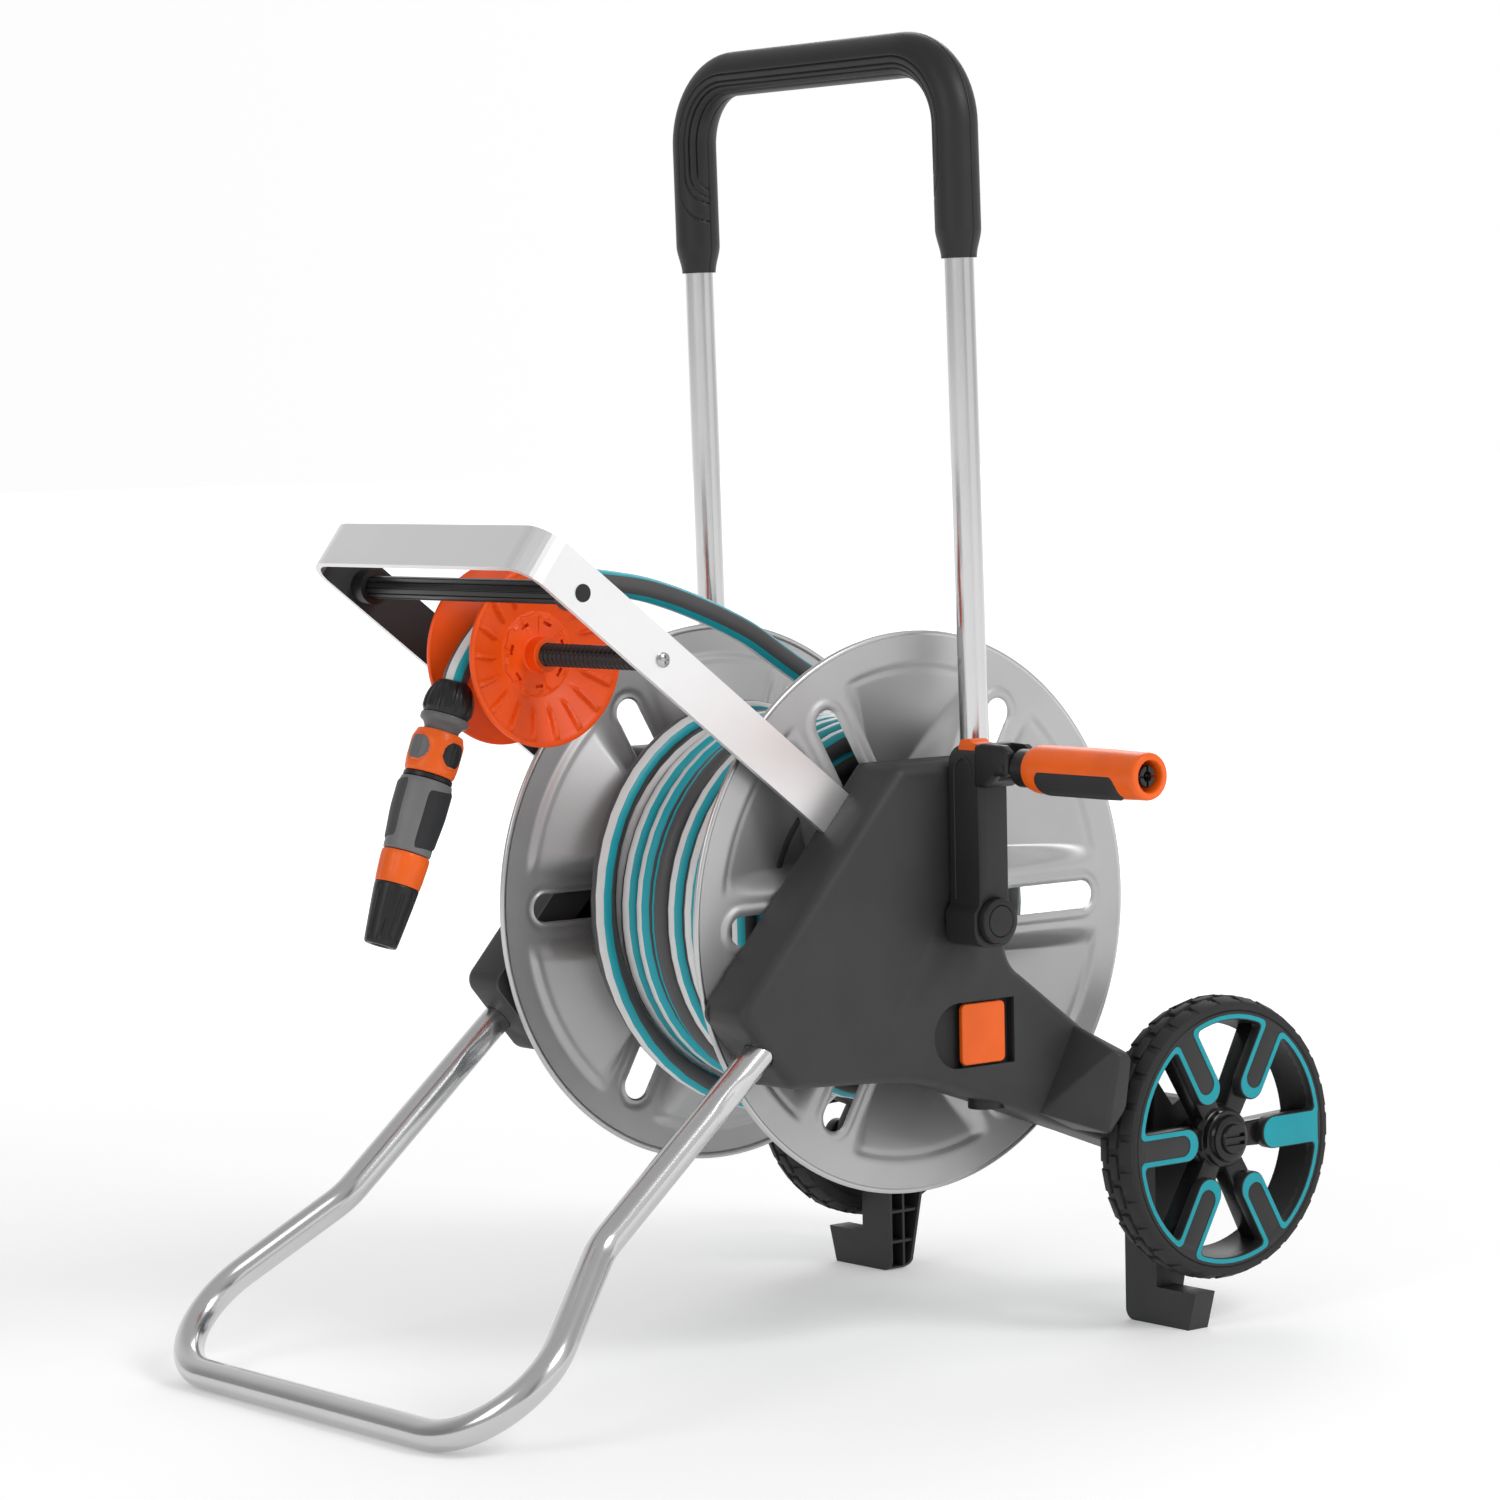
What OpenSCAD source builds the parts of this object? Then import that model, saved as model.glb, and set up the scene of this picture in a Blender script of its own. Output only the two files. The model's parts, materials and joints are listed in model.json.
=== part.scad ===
// Garden hose reel cart: a steel hose reel between two moulded side covers,
// on two wheels and a bent tube foot, with a sliding handle, a folding crank
// and a screw-driven hose guide on an aluminium bracket.
// +X is the crank side, -Y the front (hose guide), +Z up, ground at z = 0.
// Inside the modules the origin is the middle of the reel axle.

/* [Reel] */
// Outer radius of the reel flanges
flange_r = 195; // [190:1:196]
// Distance from the middle plane to the outer face of each flange rim
flange_x = 111; // [109:0.5:111.5]
// Outer radius of the drum that carries the hose
drum_r = 86; // [80:1:90]
// Sheet thickness of drum and flanges
sheet = 2; // [1.5:0.25:2.5]
// Radius of the reel axle
axle_r = 12.5; // [11:0.5:13]

/* [Hose] */
// Outside diameter of the hose
hose_d = 17.5; // [16:0.5:18]
// Layers of hose on the drum
hose_layers = 3; // [1:1:3]

/* [Side covers] */
// Outer face of the covers, from the middle plane
cover_x = 159; // [158:0.5:160]
// Inner face of the covers, from the middle plane
cover_in = 116.5; // [116:0.5:118]
// Wall thickness of the covers
wall = 2.5; // [2:0.25:3]

/* [Handle] */
// Sideways distance of each handle tube from the middle plane
handle_x = 142.5; // [141:0.5:143]
// Radius of the handle tubes
tube_r = 10; // [9:0.5:10]
// Lean of the handle towards the front
handle_lean = 1.2; // [0:0.1:2]
// Height of the top of the hand grip above the reel axle
grip_top = 605; // [560:5:620]

/* [Wheels and stand] */
// Height of the reel axle above the ground
axle_h = 305.6; // [300:0.2:310]
// Outer radius of the tyres
tyre_r = 101; // [95:1:103]
// Outer face of the wheels, from the middle plane
wheel_x = 205; // [203:1:207]
// Width of the wheels
wheel_w = 33; // [30:1:34]
// Radius of the bent foot tube
foot_r = 10.5; // [9:0.5:10.5]

/* [Hose guide] */
// Half the outer width of the guide bracket
bracket_x = 126; // [125:0.5:127]
// Width of the bracket strip
strip_w = 33; // [30:1:34]
// Thickness of the bracket strip
strip_t = 4; // [3:0.5:5]
// Radius of the pulley rims
pulley_r = 63; // [55:1:64]
// Place of the guide along the spindle at rest
guide_rest = -27; // [-70:1:90]

/* [Hidden] */
$fn = 64;

fit = 0.06;                       // radial clearance of running fits
gap = 0.3;                        // clearance between parts that only pass

// Colours
c_cover = [0.27, 0.27, 0.28];
c_black = [0.09, 0.09, 0.10];
c_orange = [0.93, 0.36, 0.07];
c_teal = [0.05, 0.60, 0.64];
c_steel = [0.72, 0.72, 0.73];
c_chrome = [0.85, 0.86, 0.88];
c_alu = [0.90, 0.90, 0.91];
c_grey = [0.52, 0.53, 0.54];
c_hose = [0.35, 0.36, 0.36];

// Reel
dish_x = flange_x - 33;           // flat bottom of the flange dishes
dish_out = 174;                   // radius where the dishes start
dish_in = 90;                     // radius of their flat bottom
spoke_half = 25;                  // half width left between two dishes
slot_r0 = 88;                     // slot end centres
slot_r1 = 155;
slot_w = 10.5;                    // slot half width
coil_half = dish_x - sheet - 0.4; // half width of the winding on the drum
layer_step = hose_d * cos(30);
coil_r = drum_r + 0.2 + hose_d + (hose_layers - 1) * layer_step;

// Crank
arm_x0 = cover_x + 1.5;
arm_x1 = 192;
arm_w = 13;
cap_x = 198;
crank_len = 105;
hinge_x = 216;                    // fold axis of the grip
fork_end = 221.5;
grip_x0 = 236;
pad_x0 = grip_x0 + 12;            // soft pad on the crank's grip
pad_x1 = grip_x0 + 93;
grip_end = 345;
grip_r = 16.5;

// Wheels: axle place in the reel's own coordinates
wheel_y = 208.7;
wheel_z = -171.4;
wheel_axle_r = 6;
wheel_in = wheel_x - wheel_w;
wheel_cap = wheel_x + 4;

// Stand: ground level seen from the reel axle
ground = -axle_h;
foot_front = 176;                 // front face of the rear feet
foot_round = 8;                   // radius of their lower inner corner
leg_x0 = 129;
leg_x1 = 161;
toe_x = 200;
toe_slant = 7.5;                  // how far the toe's underside stays back

// Bent foot tube: inside end, mouth of the cover, kink and corner
bow_x = 146.5;
bow_a = [bow_x, -126, -40];
bow_k = [bow_x, -306.2, -191.3];
bow_c = [225, -435, ground + foot_r];
bow_bend = 61;

// Guide bracket: start of its upper edge, rise angle, lengths along it
strip_a = 37.3;
strip_o = [0, -65.9, 82.7];
strip_len = 320;
strip_in = -30;
strip_bend = 22;
spindle_y = -229.1;
spindle_z = 185.9;
spindle_r = 8;
rod_y = -293.2;
rod_z = 232.2;
rod_r = 8;
pulley_hub = 26;
pulley_half = 26.5;

// Hose from the winding over the pulley to the nozzle, side view [y, z]
span_route = [[112.8, 88.6], [100.2, 102.6], [86, 115.3], [68.5, 128], [50, 140], [30, 152.5],
    [9, 164.5], [-12, 177.5], [-33, 190.5], [-55, 201], [-78, 210.5], [-102, 219],
    [-127, 226], [-152, 230.5], [-176, 233.5], [-199, 234], [-219, 231], [-236, 224],
    [-250, 214.5], [-263, 202.5], [-275, 190], [-284.5, 176.3], [-289, 164.6]];
span_sides = 12;

// Nozzle: start and tilt of its axis
nozzle_o = [guide_rest, -287.4, 168.8];
nozzle_tilt = 21.1;

// Handle
lean_y = 30.4;                    // handle tube at the height of the axle
tube_low = -125;                  // lower end of the tubes, along the handle
tube_high = 539;                  // just below the grip's bend
grip_low = 448.6;
grip_or = 15.8;
grip_bend = 50;
latch_z = -81.3;
latch_y0 = -2;
latch_y1 = 37.3;
latch_h = 42;

// Whole cart, so that its box stands centred on the origin
bow_front = bow_c[1] - foot_r;
cart_x = -(grip_end - wheel_cap) / 2;
cart_y = -(bow_front + wheel_y + tyre_r) / 2;

// ---------- helpers ----------
module on_cart() { translate([cart_x, cart_y, axle_h]) children(); }
module side(s) { mirror([s < 0 ? 1 : 0, 0, 0]) children(); }
// Outline drawn in (y, z), pulled from x0 to x1
module plate_x(x0, x1) { translate([x0, 0, 0]) rotate([90, 0, 90]) linear_extrude(x1 - x0) children(); }
module rod_x(r, x0, x1) { translate([x0, 0, 0]) rotate([0, 90, 0]) cylinder(r = r, h = x1 - x0); }
module tube_x(ro, ri, x0, x1) {
    difference() { rod_x(ro, x0, x1); rod_x(ri, x0 - 1, x1 + 1); }
}
// Ring of the profile [radius, x] turned about the X axis
module turn_x(profile) { rotate([90, 0, 90]) rotate_extrude() polygon(profile); }
module at_handle() { translate([0, lean_y, 0]) rotate([handle_lean, 0, 0]) children(); }
module at_nozzle() { translate(nozzle_o) rotate([-nozzle_tilt, 0, 0]) mirror([0, 0, 1]) children(); }
module at_strip() { translate(strip_o) rotate([-strip_a, 0, 0]) children(); }
module at_wheel() { translate([0, wheel_y, wheel_z]) children(); }
module at_spindle() { translate([0, spindle_y, spindle_z]) children(); }

// Outline moved inwards by d: each edge is shifted and meets its neighbours
function unit(v) = v / norm(v);
function cross2(a, b) = a[0] * b[1] - a[1] * b[0];
function meet(p, u, q, v) = p + u * (cross2(q - p, v) / cross2(u, v));
function inset(p, d) = let (n = len(p)) [for (i = [0:n - 1])
    let (a = p[(i + n - 1) % n], b = p[i], c = p[(i + 1) % n],
        u = unit(b - a), v = unit(c - b),
        nu = [-u[1], u[0]], nv = [-v[1], v[0]])
    meet(b + nu * d, u, b + nv * d, v)];
// Arc points about c from angle a0 to a1
function arc(c, r, a0, a1, n = 6) = [for (i = [0:n]) c + r * [cos(a0 + (a1 - a0) * i / n), sin(a0 + (a1 - a0) * i / n)]];

// Tube through points, one ring per point, kept square to the route
function tangent(p, i) = unit(p[min(i + 1, len(p) - 1)] - p[max(i - 1, 0)]);
function ring_pts(c, t, side_dir, r, n) =
    let (a = unit(cross(t, side_dir)), b = cross(a, t))
    [for (k = [0:n - 1]) c + r * (cos(360 * k / n) * a + sin(360 * k / n) * b)];
module sweep(p, side_dir, r, n) {
    m = len(p);
    pts = [for (i = [0:m - 1]) each ring_pts(p[i], tangent(p, i), side_dir, r, n)];
    walls = [for (i = [0:m - 2], k = [0:n - 1])
        [i * n + k, i * n + (k + 1) % n, (i + 1) * n + (k + 1) % n, (i + 1) * n + k]];
    ends = [[for (k = [n - 1:-1:0]) k], [for (k = [0:n - 1]) (m - 1) * n + k]];
    polyhedron(concat(walls, ends) == [] ? [] : pts, concat(walls, ends), convexity = 6);
}

// ---------- side covers ----------
// Side outline of a cover, counter-clockwise in (y, z)
cover_outline = concat(
    arc([-149, -96.5], 7, 215, 265, 3),
    [[-85.4, -106.7], [-49.8, -109.1], [-20, -115], [31.6, -132.8], [120.8, -165.1],
     [176, -186], [176, -127]],
    [[122.3, -93.1]],
    arc([70, -20], 28, 240, 185, 5),
    arc([34, 97], 10, 0, 90, 3),
    arc([-51, 99], 8, 90, 142, 3),
    arc([-184, -51], 9, 142, 215, 4));

module fender(in) {
    hull() {
        plate_x(cover_x - 6 - in, cover_x - 5.5) polygon([[101 + in, -84 - in], [68.9 + in, -141 + in],
            [107 - in, -160 + in], [119 - in, -94 - in]]);
        plate_x(203 - in, 204 - in) polygon([[100.6 + in, -97.6 - in], [88.1 + in, -152 + in],
            [96 - in, -153 + in], [108.5 - in, -139.8], [114.4 - in, -103.9 - in]]);
    }
}

// Where the foot tube and the bracket pass the cover
module bow_hole(r) {
    translate(bow_k) rotate([atan2(bow_a[2] - bow_k[2], bow_a[1] - bow_k[1]) - 90, 0, 0])
        cylinder(r = r, h = norm(bow_a - bow_k) + 1);
}
module latch_window(d = 0) {
    h = latch_h / 2 + 1.7;
    translate([h - 27.6, latch_z]) circle(h + d);
    translate([h - 27.6, latch_z - h - d]) square([73.2 - h + d, 2 * (h + d)]);
}

module side_shell() {
    color(c_cover) difference() {
        union() {
            difference() {
                plate_x(cover_in + 3, cover_x) polygon(cover_outline);
                plate_x(cover_in + 2, cover_x - wall) polygon(inset(cover_outline, wall));
            }
            // fender in front of the tyre
            difference() {
                fender(0);
                fender(wall);
            }
            // latch pocket walls
            plate_x(cover_x - 4, cover_x - 1) difference() {
                latch_window(3);
                latch_window(0);
            }
            // screw bosses
            for (p = screw_places) translate([0, p[0], p[1]]) rod_x(4.5, cover_in + 3, cover_x - 1);
            rod_x(20, cover_in + 4, cover_x - 1);
        }
        rod_x(17, 0, 400);
        for (p = screw_places) translate([0, p[0], p[1]]) rod_x(2.5, 0, cover_in + 9);
        plate_x(cover_x - 6, cover_x + 1) latch_window(0);
        bow_hole(foot_r + gap);
        at_handle() translate([handle_x, 0, -300]) cylinder(r = tube_r + 2.8, h = 600);
        at_strip() translate([bracket_x - strip_t - gap, -60, -strip_w - gap])
            cube([strip_t + 2 * gap, 90, strip_w + 2 * gap]);
    }
}
module side_shell_right() { on_cart() side_shell(); }
module side_shell_left() { on_cart() side(-1) side_shell(); }

// Ribbed inner half: a flat frame with windows, which closes the cover
inner_windows = [
    [[-166, -52], [-44, -24], [-42, -6], [-100, 14]],
    [[-90, 24], [-44, 4], [-24, 38], [-52, 66]],
    [[-8, 42], [26, 34], [20, 88], [-36, 82]],
    [[-140, -88], [-50, -94], [-36, -36], [-158, -72]],
    [[-34, -98], [24, -116], [38, -60], [20, -42], [-30, -44]],
    [[52, -110], [110, -146], [112, -102], [48, -56]]];
module side_inner() {
    color(c_cover) plate_x(cover_in, cover_in + 3) difference() {
        polygon(cover_outline);
        for (w = inner_windows) polygon(w);
        circle(17);
        for (p = screw_places) translate(p) circle(2.6);
    }
}
module side_inner_right() { on_cart() side_inner(); }
module side_inner_left() { on_cart() side(-1) side_inner(); }

// Screws that hold the inner halves to the covers
screw_places = [[-176, -60], [-56, 82], [-60, -97], [58, -133], [150, -150]];
module shell_screws() {
    on_cart() color(c_steel) for (s = [-1, 1], p = screw_places)
        side(s) translate([0, p[0], p[1]]) {
            rod_x(2.5, cover_in - 0.5, cover_in + 9);
            rod_x(4.5, cover_in - 2, cover_in);
        }
}

// Long bushes in which the reel axle turns
module axle_bushes() {
    on_cart() color(c_black) for (s = [-1, 1]) side(s) {
        tube_x(16.95, axle_r + fit, cover_in, cover_x);
        tube_x(21, axle_r + fit, cover_in - 1.5, cover_in);
    }
}

// Collars in which the handle tubes slide
module tube_guides() {
    on_cart() color(c_black) for (s = [-1, 1]) side(s) at_handle() translate([handle_x, 0, 0]) {
        difference() {
            union() {
                translate([0, 0, 82]) cylinder(r = tube_r + 2.7, h = 25.5);
                translate([0, 0, -136]) cylinder(r = tube_r + 2.7, h = 26);
            }
            translate([0, 0, -150]) cylinder(r = tube_r + 0.08, h = 400);
        }
    }
}

// ---------- rear legs, axle, wheels ----------
leg_outline = concat(
    [[foot_front, ground]],
    arc([foot_front + 14, ground + 9], 9, 270, 340, 3),
    [[218, -205]],
    arc([wheel_y, wheel_z], 26, -40, 125, 8),
    [[foot_front, -127]]);

module rear_leg() {
    color(c_cover) {
        difference() {
            union() {
                difference() {
                    plate_x(leg_x0, leg_x1) polygon(leg_outline);
                    plate_x(leg_x0 - 1, leg_x1 - wall) polygon(inset(leg_outline, wall));
                }
                // ribs inside the leg
                intersection() {
                    plate_x(leg_x0 + 1.5, leg_x1 - 1) polygon(inset(leg_outline, 1));
                    union() {
                        for (z = [-285, -262, -238, -214]) translate([leg_x0, 150, z]) cube([40, 100, 2]);
                        translate([leg_x0, 190, ground]) cube([40, 2, 110]);
                    }
                }
                at_wheel() rod_x(15, leg_x0 - 6, leg_x1 + 3);
            }
            at_wheel() rod_x(wheel_axle_r, 0, 300);
            // rounded inner corner of the foot
            translate([leg_x0, foot_front - 1, ground]) difference() {
                translate([-1, 0, -1]) cube([foot_round + 1, 60, foot_round + 1]);
                translate([foot_round, -1, foot_round]) rotate([-90, 0, 0]) cylinder(r = foot_round, h = 70);
            }
        }
        // toe under the wheel
        difference() {
            translate([leg_x1 - 1, foot_front, ground]) cube([toe_x - leg_x1 + 1, 19, 27]);
            translate([toe_x - toe_slant, foot_front - 1, ground]) rotate([0, 16, 0]) translate([0, 0, -10]) cube([20, 40, 60]);
            translate([leg_x1 + 2, foot_front + wall, ground - 1]) cube([toe_x - leg_x1 - 12, 30, 27 - wall + 1]);
        }
    }
}
module rear_leg_right() { on_cart() rear_leg(); }
module rear_leg_left() { on_cart() side(-1) rear_leg(); }

module wheel_axle() {
    on_cart() color(c_steel) at_wheel() rod_x(wheel_axle_r, -wheel_x - 1, wheel_x + 1);
}

module tyre() {
    color(c_black) at_wheel() turn_x([[87, wheel_in + 3], [91, wheel_in], [96, wheel_in],
        [tyre_r, wheel_in + 6], [tyre_r, wheel_x - 6], [97, wheel_x - 0.5], [91, wheel_x],
        [89, wheel_x], [89, wheel_x - 3], [87, wheel_x - 3]]);
}
module rim() {
    color(c_cover) at_wheel() difference() {
        union() {
            tube_x(86.9, 78, wheel_in + 4, wheel_x - 4);
            rod_x(79, wheel_in + 14, wheel_x - 8);
            rod_x(18, leg_x1 + 3.5, wheel_x - 1);
            for (k = [0:5]) rotate([60 * k, 0, 0]) plate_x(wheel_x - 10, wheel_x - 3) translate([10, -8]) square([70, 16]);
        }
        for (k = [0:5]) rotate([60 * k + 30, 0, 0]) plate_x(wheel_in + 10, wheel_x) intersection() {
            difference() { circle(73); circle(30); }
            polygon([[24, 0], [24 + 80 * cos(30), 40], [24 + 80 * cos(30), -40]]);
        }
        rod_x(wheel_axle_r + fit, 0, 400);
    }
}
module hub_cap() {
    color(c_black) at_wheel() difference() {
        union() { rod_x(15, wheel_x + 1, wheel_cap); rod_x(9, wheel_x - 0.9, wheel_x + 2); }
        translate([wheel_cap - 1.5, -9, -1.5]) cube([3, 18, 3]);
        rod_x(wheel_axle_r, 0, wheel_x + 1);
    }
}
module tyre_right() { on_cart() tyre(); }
module rim_right() { on_cart() rim(); }
module hub_cap_right() { on_cart() hub_cap(); }
module tyre_left() { on_cart() side(-1) tyre(); }
module rim_left() { on_cart() side(-1) rim(); }
module hub_cap_left() { on_cart() side(-1) hub_cap(); }

// ---------- foot tube ----------
// Round corner between two straight runs: points of the arc that joins them
function corner(a, b, c, r, n) =
    let (u = unit(a - b), v = unit(c - b), half = acos(u * v) / 2,
        t = r / tan(half), m = b + unit(u + v) * (r / sin(half)),
        p = b + u * t - m, w = unit(b - m), q = unit(p - (p * w) * w), h = 90 - half)
    [for (i = [0:n]) let (g = -h + 2 * h * i / n) m + r * (cos(g) * w - sin(g) * q)];
bow_half = concat([bow_a], corner(bow_a, bow_k, bow_c, 45, 6),
    corner(bow_k, bow_c, [-bow_c[0], bow_c[1], bow_c[2]], bow_bend, 14));
bow_path = concat(bow_half, [for (i = [len(bow_half) - 1:-1:0])
    [-bow_half[i][0], bow_half[i][1], bow_half[i][2]]]);
module foot_bow() {
    on_cart() color(c_chrome) sweep(bow_path, [0, bow_k[2] - bow_c[2], bow_c[1] - bow_k[1]], foot_r, 16);
}

// ---------- hose guide ----------
module guide_bracket() {
    on_cart() color(c_alu) at_strip() difference() {
        translate([0, -strip_len, -strip_w]) linear_extrude(strip_w) difference() {
            strip_shape(bracket_x, strip_bend, 0);
            strip_shape(bracket_x - strip_t, strip_bend - strip_t, strip_t);
        }
        for (s = [-1, 1]) side(s) {
            on_arm(rod_y, rod_z) rod_x(6, 0, 200);
            on_arm(spindle_y, spindle_z) rod_x(2.6, 0, 200);
        }
    }
}
// A place on the cart, given along the bracket's own arm
module on_arm(y, z) {
    dy = y - strip_o[1];
    dz = z - strip_o[2];
    translate([0, dy * cos(strip_a) - dz * sin(strip_a), dy * sin(strip_a) + dz * cos(strip_a)]) children();
}
// Flat outline of the U, from its cross part to its ends
module strip_shape(h, r, d) {
    polygon(concat(arc([h - r, d + r], r, 0, -90, 10), arc([-h + r, d + r], r, 270, 180, 10),
        [[-h, strip_len - strip_in], [h, strip_len - strip_in]]));
}
module upper_rod() {
    on_cart() color(c_black) translate([0, rod_y, rod_z]) rod_x(rod_r, -bracket_x + strip_t + 6, bracket_x - strip_t - 6);
}
module rod_plugs() {
    on_cart() color(c_black) for (s = [-1, 1]) side(s) translate([0, rod_y, rod_z]) {
        tube_x(12, rod_r + 0.02, bracket_x - strip_t - 12, bracket_x - strip_t - 6);
        rod_x(12, bracket_x - strip_t - 6, bracket_x - strip_t);
        rod_x(5.9, bracket_x - strip_t - 1, bracket_x + 0.6);
    }
}
module spindle() {
    on_cart() color(c_black) at_spindle() difference() {
        rod_x(spindle_r, -bracket_x + strip_t, bracket_x - strip_t);
        for (s = [-1, 1]) side(s) rod_x(2.5, bracket_x - strip_t - 20, bracket_x);
    }
}
module spindle_screws() {
    on_cart() color(c_steel) for (s = [-1, 1]) side(s) at_spindle() {
        rod_x(2.5, bracket_x - strip_t - 15, bracket_x);
        rod_x(5, bracket_x, bracket_x + 2.4);
    }
}

// One pulley half: hub, cone and rim, from the middle of the pulley outwards
module pulley_half_part() {
    difference() {
        turn_x([[spindle_r + fit, 0], [pulley_hub, 0], [pulley_hub, 9], [30, 12], [59, 22.5],
            [pulley_r, 23], [pulley_r, pulley_half], [60.5, pulley_half], [58, 25.5],
            [28.5, 15.5], [11.5, 15.5], [11.5, pulley_half + 1], [spindle_r + fit, pulley_half + 1]]);
    }
}
module pulley_near() { on_cart() color(c_orange) at_spindle() translate([guide_rest, 0, 0]) pulley_half_part(); }
module pulley_far() { on_cart() color(c_orange) at_spindle() translate([guide_rest, 0, 0]) side(-1) pulley_half_part(); }

// ---------- hose ----------
span_path = [for (p = span_route) [guide_rest, p[0], p[1]]];
module hose_span() { on_cart() color(c_hose) sweep(span_path, [1, 0, 0], hose_d / 2, span_sides); }
// The winding widens outwards between the sloping dishes
coil_wide = coil_half + (coil_r - dish_in) * (flange_x - dish_x) / (dish_out - dish_in);
module wound_hose() {
    on_cart() color(c_hose) turn_x([[drum_r + 0.2, -coil_half], [dish_in, -coil_half], [coil_r, -coil_wide],
        [coil_r, coil_wide], [dish_in, coil_half], [drum_r + 0.2, coil_half]]);
}

module union_nut() {
    on_cart() color(c_black) at_nozzle() difference() {
        rotate_extrude() polygon([[0, 0], [11, 0], [14.5, 5], [17, 13], [17, 21], [15.5, 23.4], [0, 23.4]]);
        translate([0, 0, -1]) cylinder(r = hose_d / 2 + 0.1, h = 6);
    }
}
module connector_body() {
    on_cart() color(c_grey) at_nozzle() rotate_extrude()
        polygon([[0, 23.5], [15, 23.5], [16.5, 25], [16.5, 28], [12, 31.5], [12, 58], [9, 58], [9, 72], [0, 72]]);
}
module connector_sleeve() {
    on_cart() color(c_orange) at_nozzle() rotate_extrude()
        polygon([[12.1, 35.5], [16.2, 35.5], [18, 42], [18, 52], [17.4, 62], [16.2, 65], [12.1, 65]]);
}
module nozzle_body() {
    on_cart() color(c_grey) at_nozzle() rotate_extrude()
        polygon([[9.1, 67.5], [16.8, 67.5], [18.6, 72], [18.6, 92], [16.6, 112], [16.6, 119.5], [11, 119.5], [11, 136], [0, 136], [0, 74], [9.1, 74]]);
}
module nozzle_ring() {
    on_cart() color(c_orange) at_nozzle() rotate_extrude()
        polygon([[11.08, 120], [16.2, 120], [16.6, 124], [15.4, 142], [11.08, 142]]);
}
module nozzle_tip() {
    on_cart() color(c_black) at_nozzle() rotate_extrude()
        polygon([[4, 142], [15.2, 142], [15.2, 144], [11.6, 180], [10.6, 184], [6, 184], [4, 178]]);
}

// ---------- reel ----------
module dish_volume() {
    turn_x([[0, dish_x], [dish_in, dish_x], [dish_out, flange_x], [dish_out, flange_x + 5], [0, flange_x + 5]]);
}
module dish_sector(grow) {
    d = (spoke_half - grow) / sin(30);
    polygon([[d, 0], [d + 300 * cos(30), 150], [d + 300 * cos(30), -150]]);
}
module slot_outline(grow) {
    for (r = [slot_r0, slot_r1]) translate([r, 0]) circle(slot_w + grow);
    translate([slot_r0, -slot_w - grow]) square([slot_r1 - slot_r0, 2 * (slot_w + grow)]);
}
module flange() {
    color(c_steel) difference() {
        union() {
            rod_x(flange_r - 1, flange_x - sheet, flange_x);
            turn_x([[flange_r - 3.5, flange_x - 3.5], [flange_r, flange_x - 3.5],
                [flange_r, flange_x + 0.5], [flange_r - 3.5, flange_x + 0.5]]);
            for (k = [0:5]) rotate([60 * k + 30, 0, 0]) intersection() {
                plate_x(dish_x - sheet, flange_x) intersection() { dish_sector(sheet); circle(dish_out + sheet); }
                translate([-sheet, 0, 0]) dish_volume();
            }
            for (k = [0:5]) rotate([60 * k, 0, 0]) plate_x(flange_x - sheet, flange_x + 1.2) slot_outline(5);
        }
        for (k = [0:5]) rotate([60 * k + 30, 0, 0]) intersection() {
            plate_x(dish_x, flange_x + 3) dish_sector(0);
            dish_volume();
        }
        for (k = [0:5]) rotate([60 * k, 0, 0]) plate_x(0, 200) slot_outline(0);
        rod_x(18, 0, 200);
    }
}
module flange_right() { on_cart() flange(); }
module flange_left() { on_cart() side(-1) flange(); }

module reel_core() {
    on_cart() color(c_steel) difference() {
        rod_x(drum_r, -dish_x + sheet, dish_x - sheet);
        rod_x(drum_r - sheet, -dish_x - sheet, dish_x + sheet);
        // the hose enters the drum here
        translate([60, 0, 0]) rotate([-60, 0, 0]) translate([0, 0, drum_r - 20]) cylinder(r = hose_d / 2 + 3, h = 40);
    }
}
module hub() {
    color(c_black) difference() {
        union() {
            rod_x(17.9, 60, flange_x + 2.5);
            rod_x(44, flange_x, flange_x + 2.5);
            for (k = [0:5]) rotate([60 * k, 0, 0]) translate([62, -2, 0]) cube([44, 4, 44]);
        }
        rod_x(axle_r, 0, 200);
    }
}
module hub_right() { on_cart() hub(); }
module hub_left() { on_cart() side(-1) hub(); }

// Hollow on the inlet side, solid towards the crank
module reel_axle() {
    on_cart() color(c_steel) difference() {
        rod_x(axle_r, -173, arm_x1 - 2);
        rod_x(8, -174, 30);
        translate([10, 0, 0]) rotate([120, 0, 0]) cylinder(r = 6, h = 20);
    }
}
// Pipe from the axle to the hose's inner end
module water_pipe() {
    on_cart() color(c_grey) translate([10, 0, 0]) rotate([120, 0, 0]) difference() {
        union() { translate([0, 0, 8.5]) cylinder(r = 5.9, h = 22); translate([0, 0, 30]) cylinder(r = 11, h = 34); }
        translate([0, 0, 5]) cylinder(r = 4, h = 70);
    }
}

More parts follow.
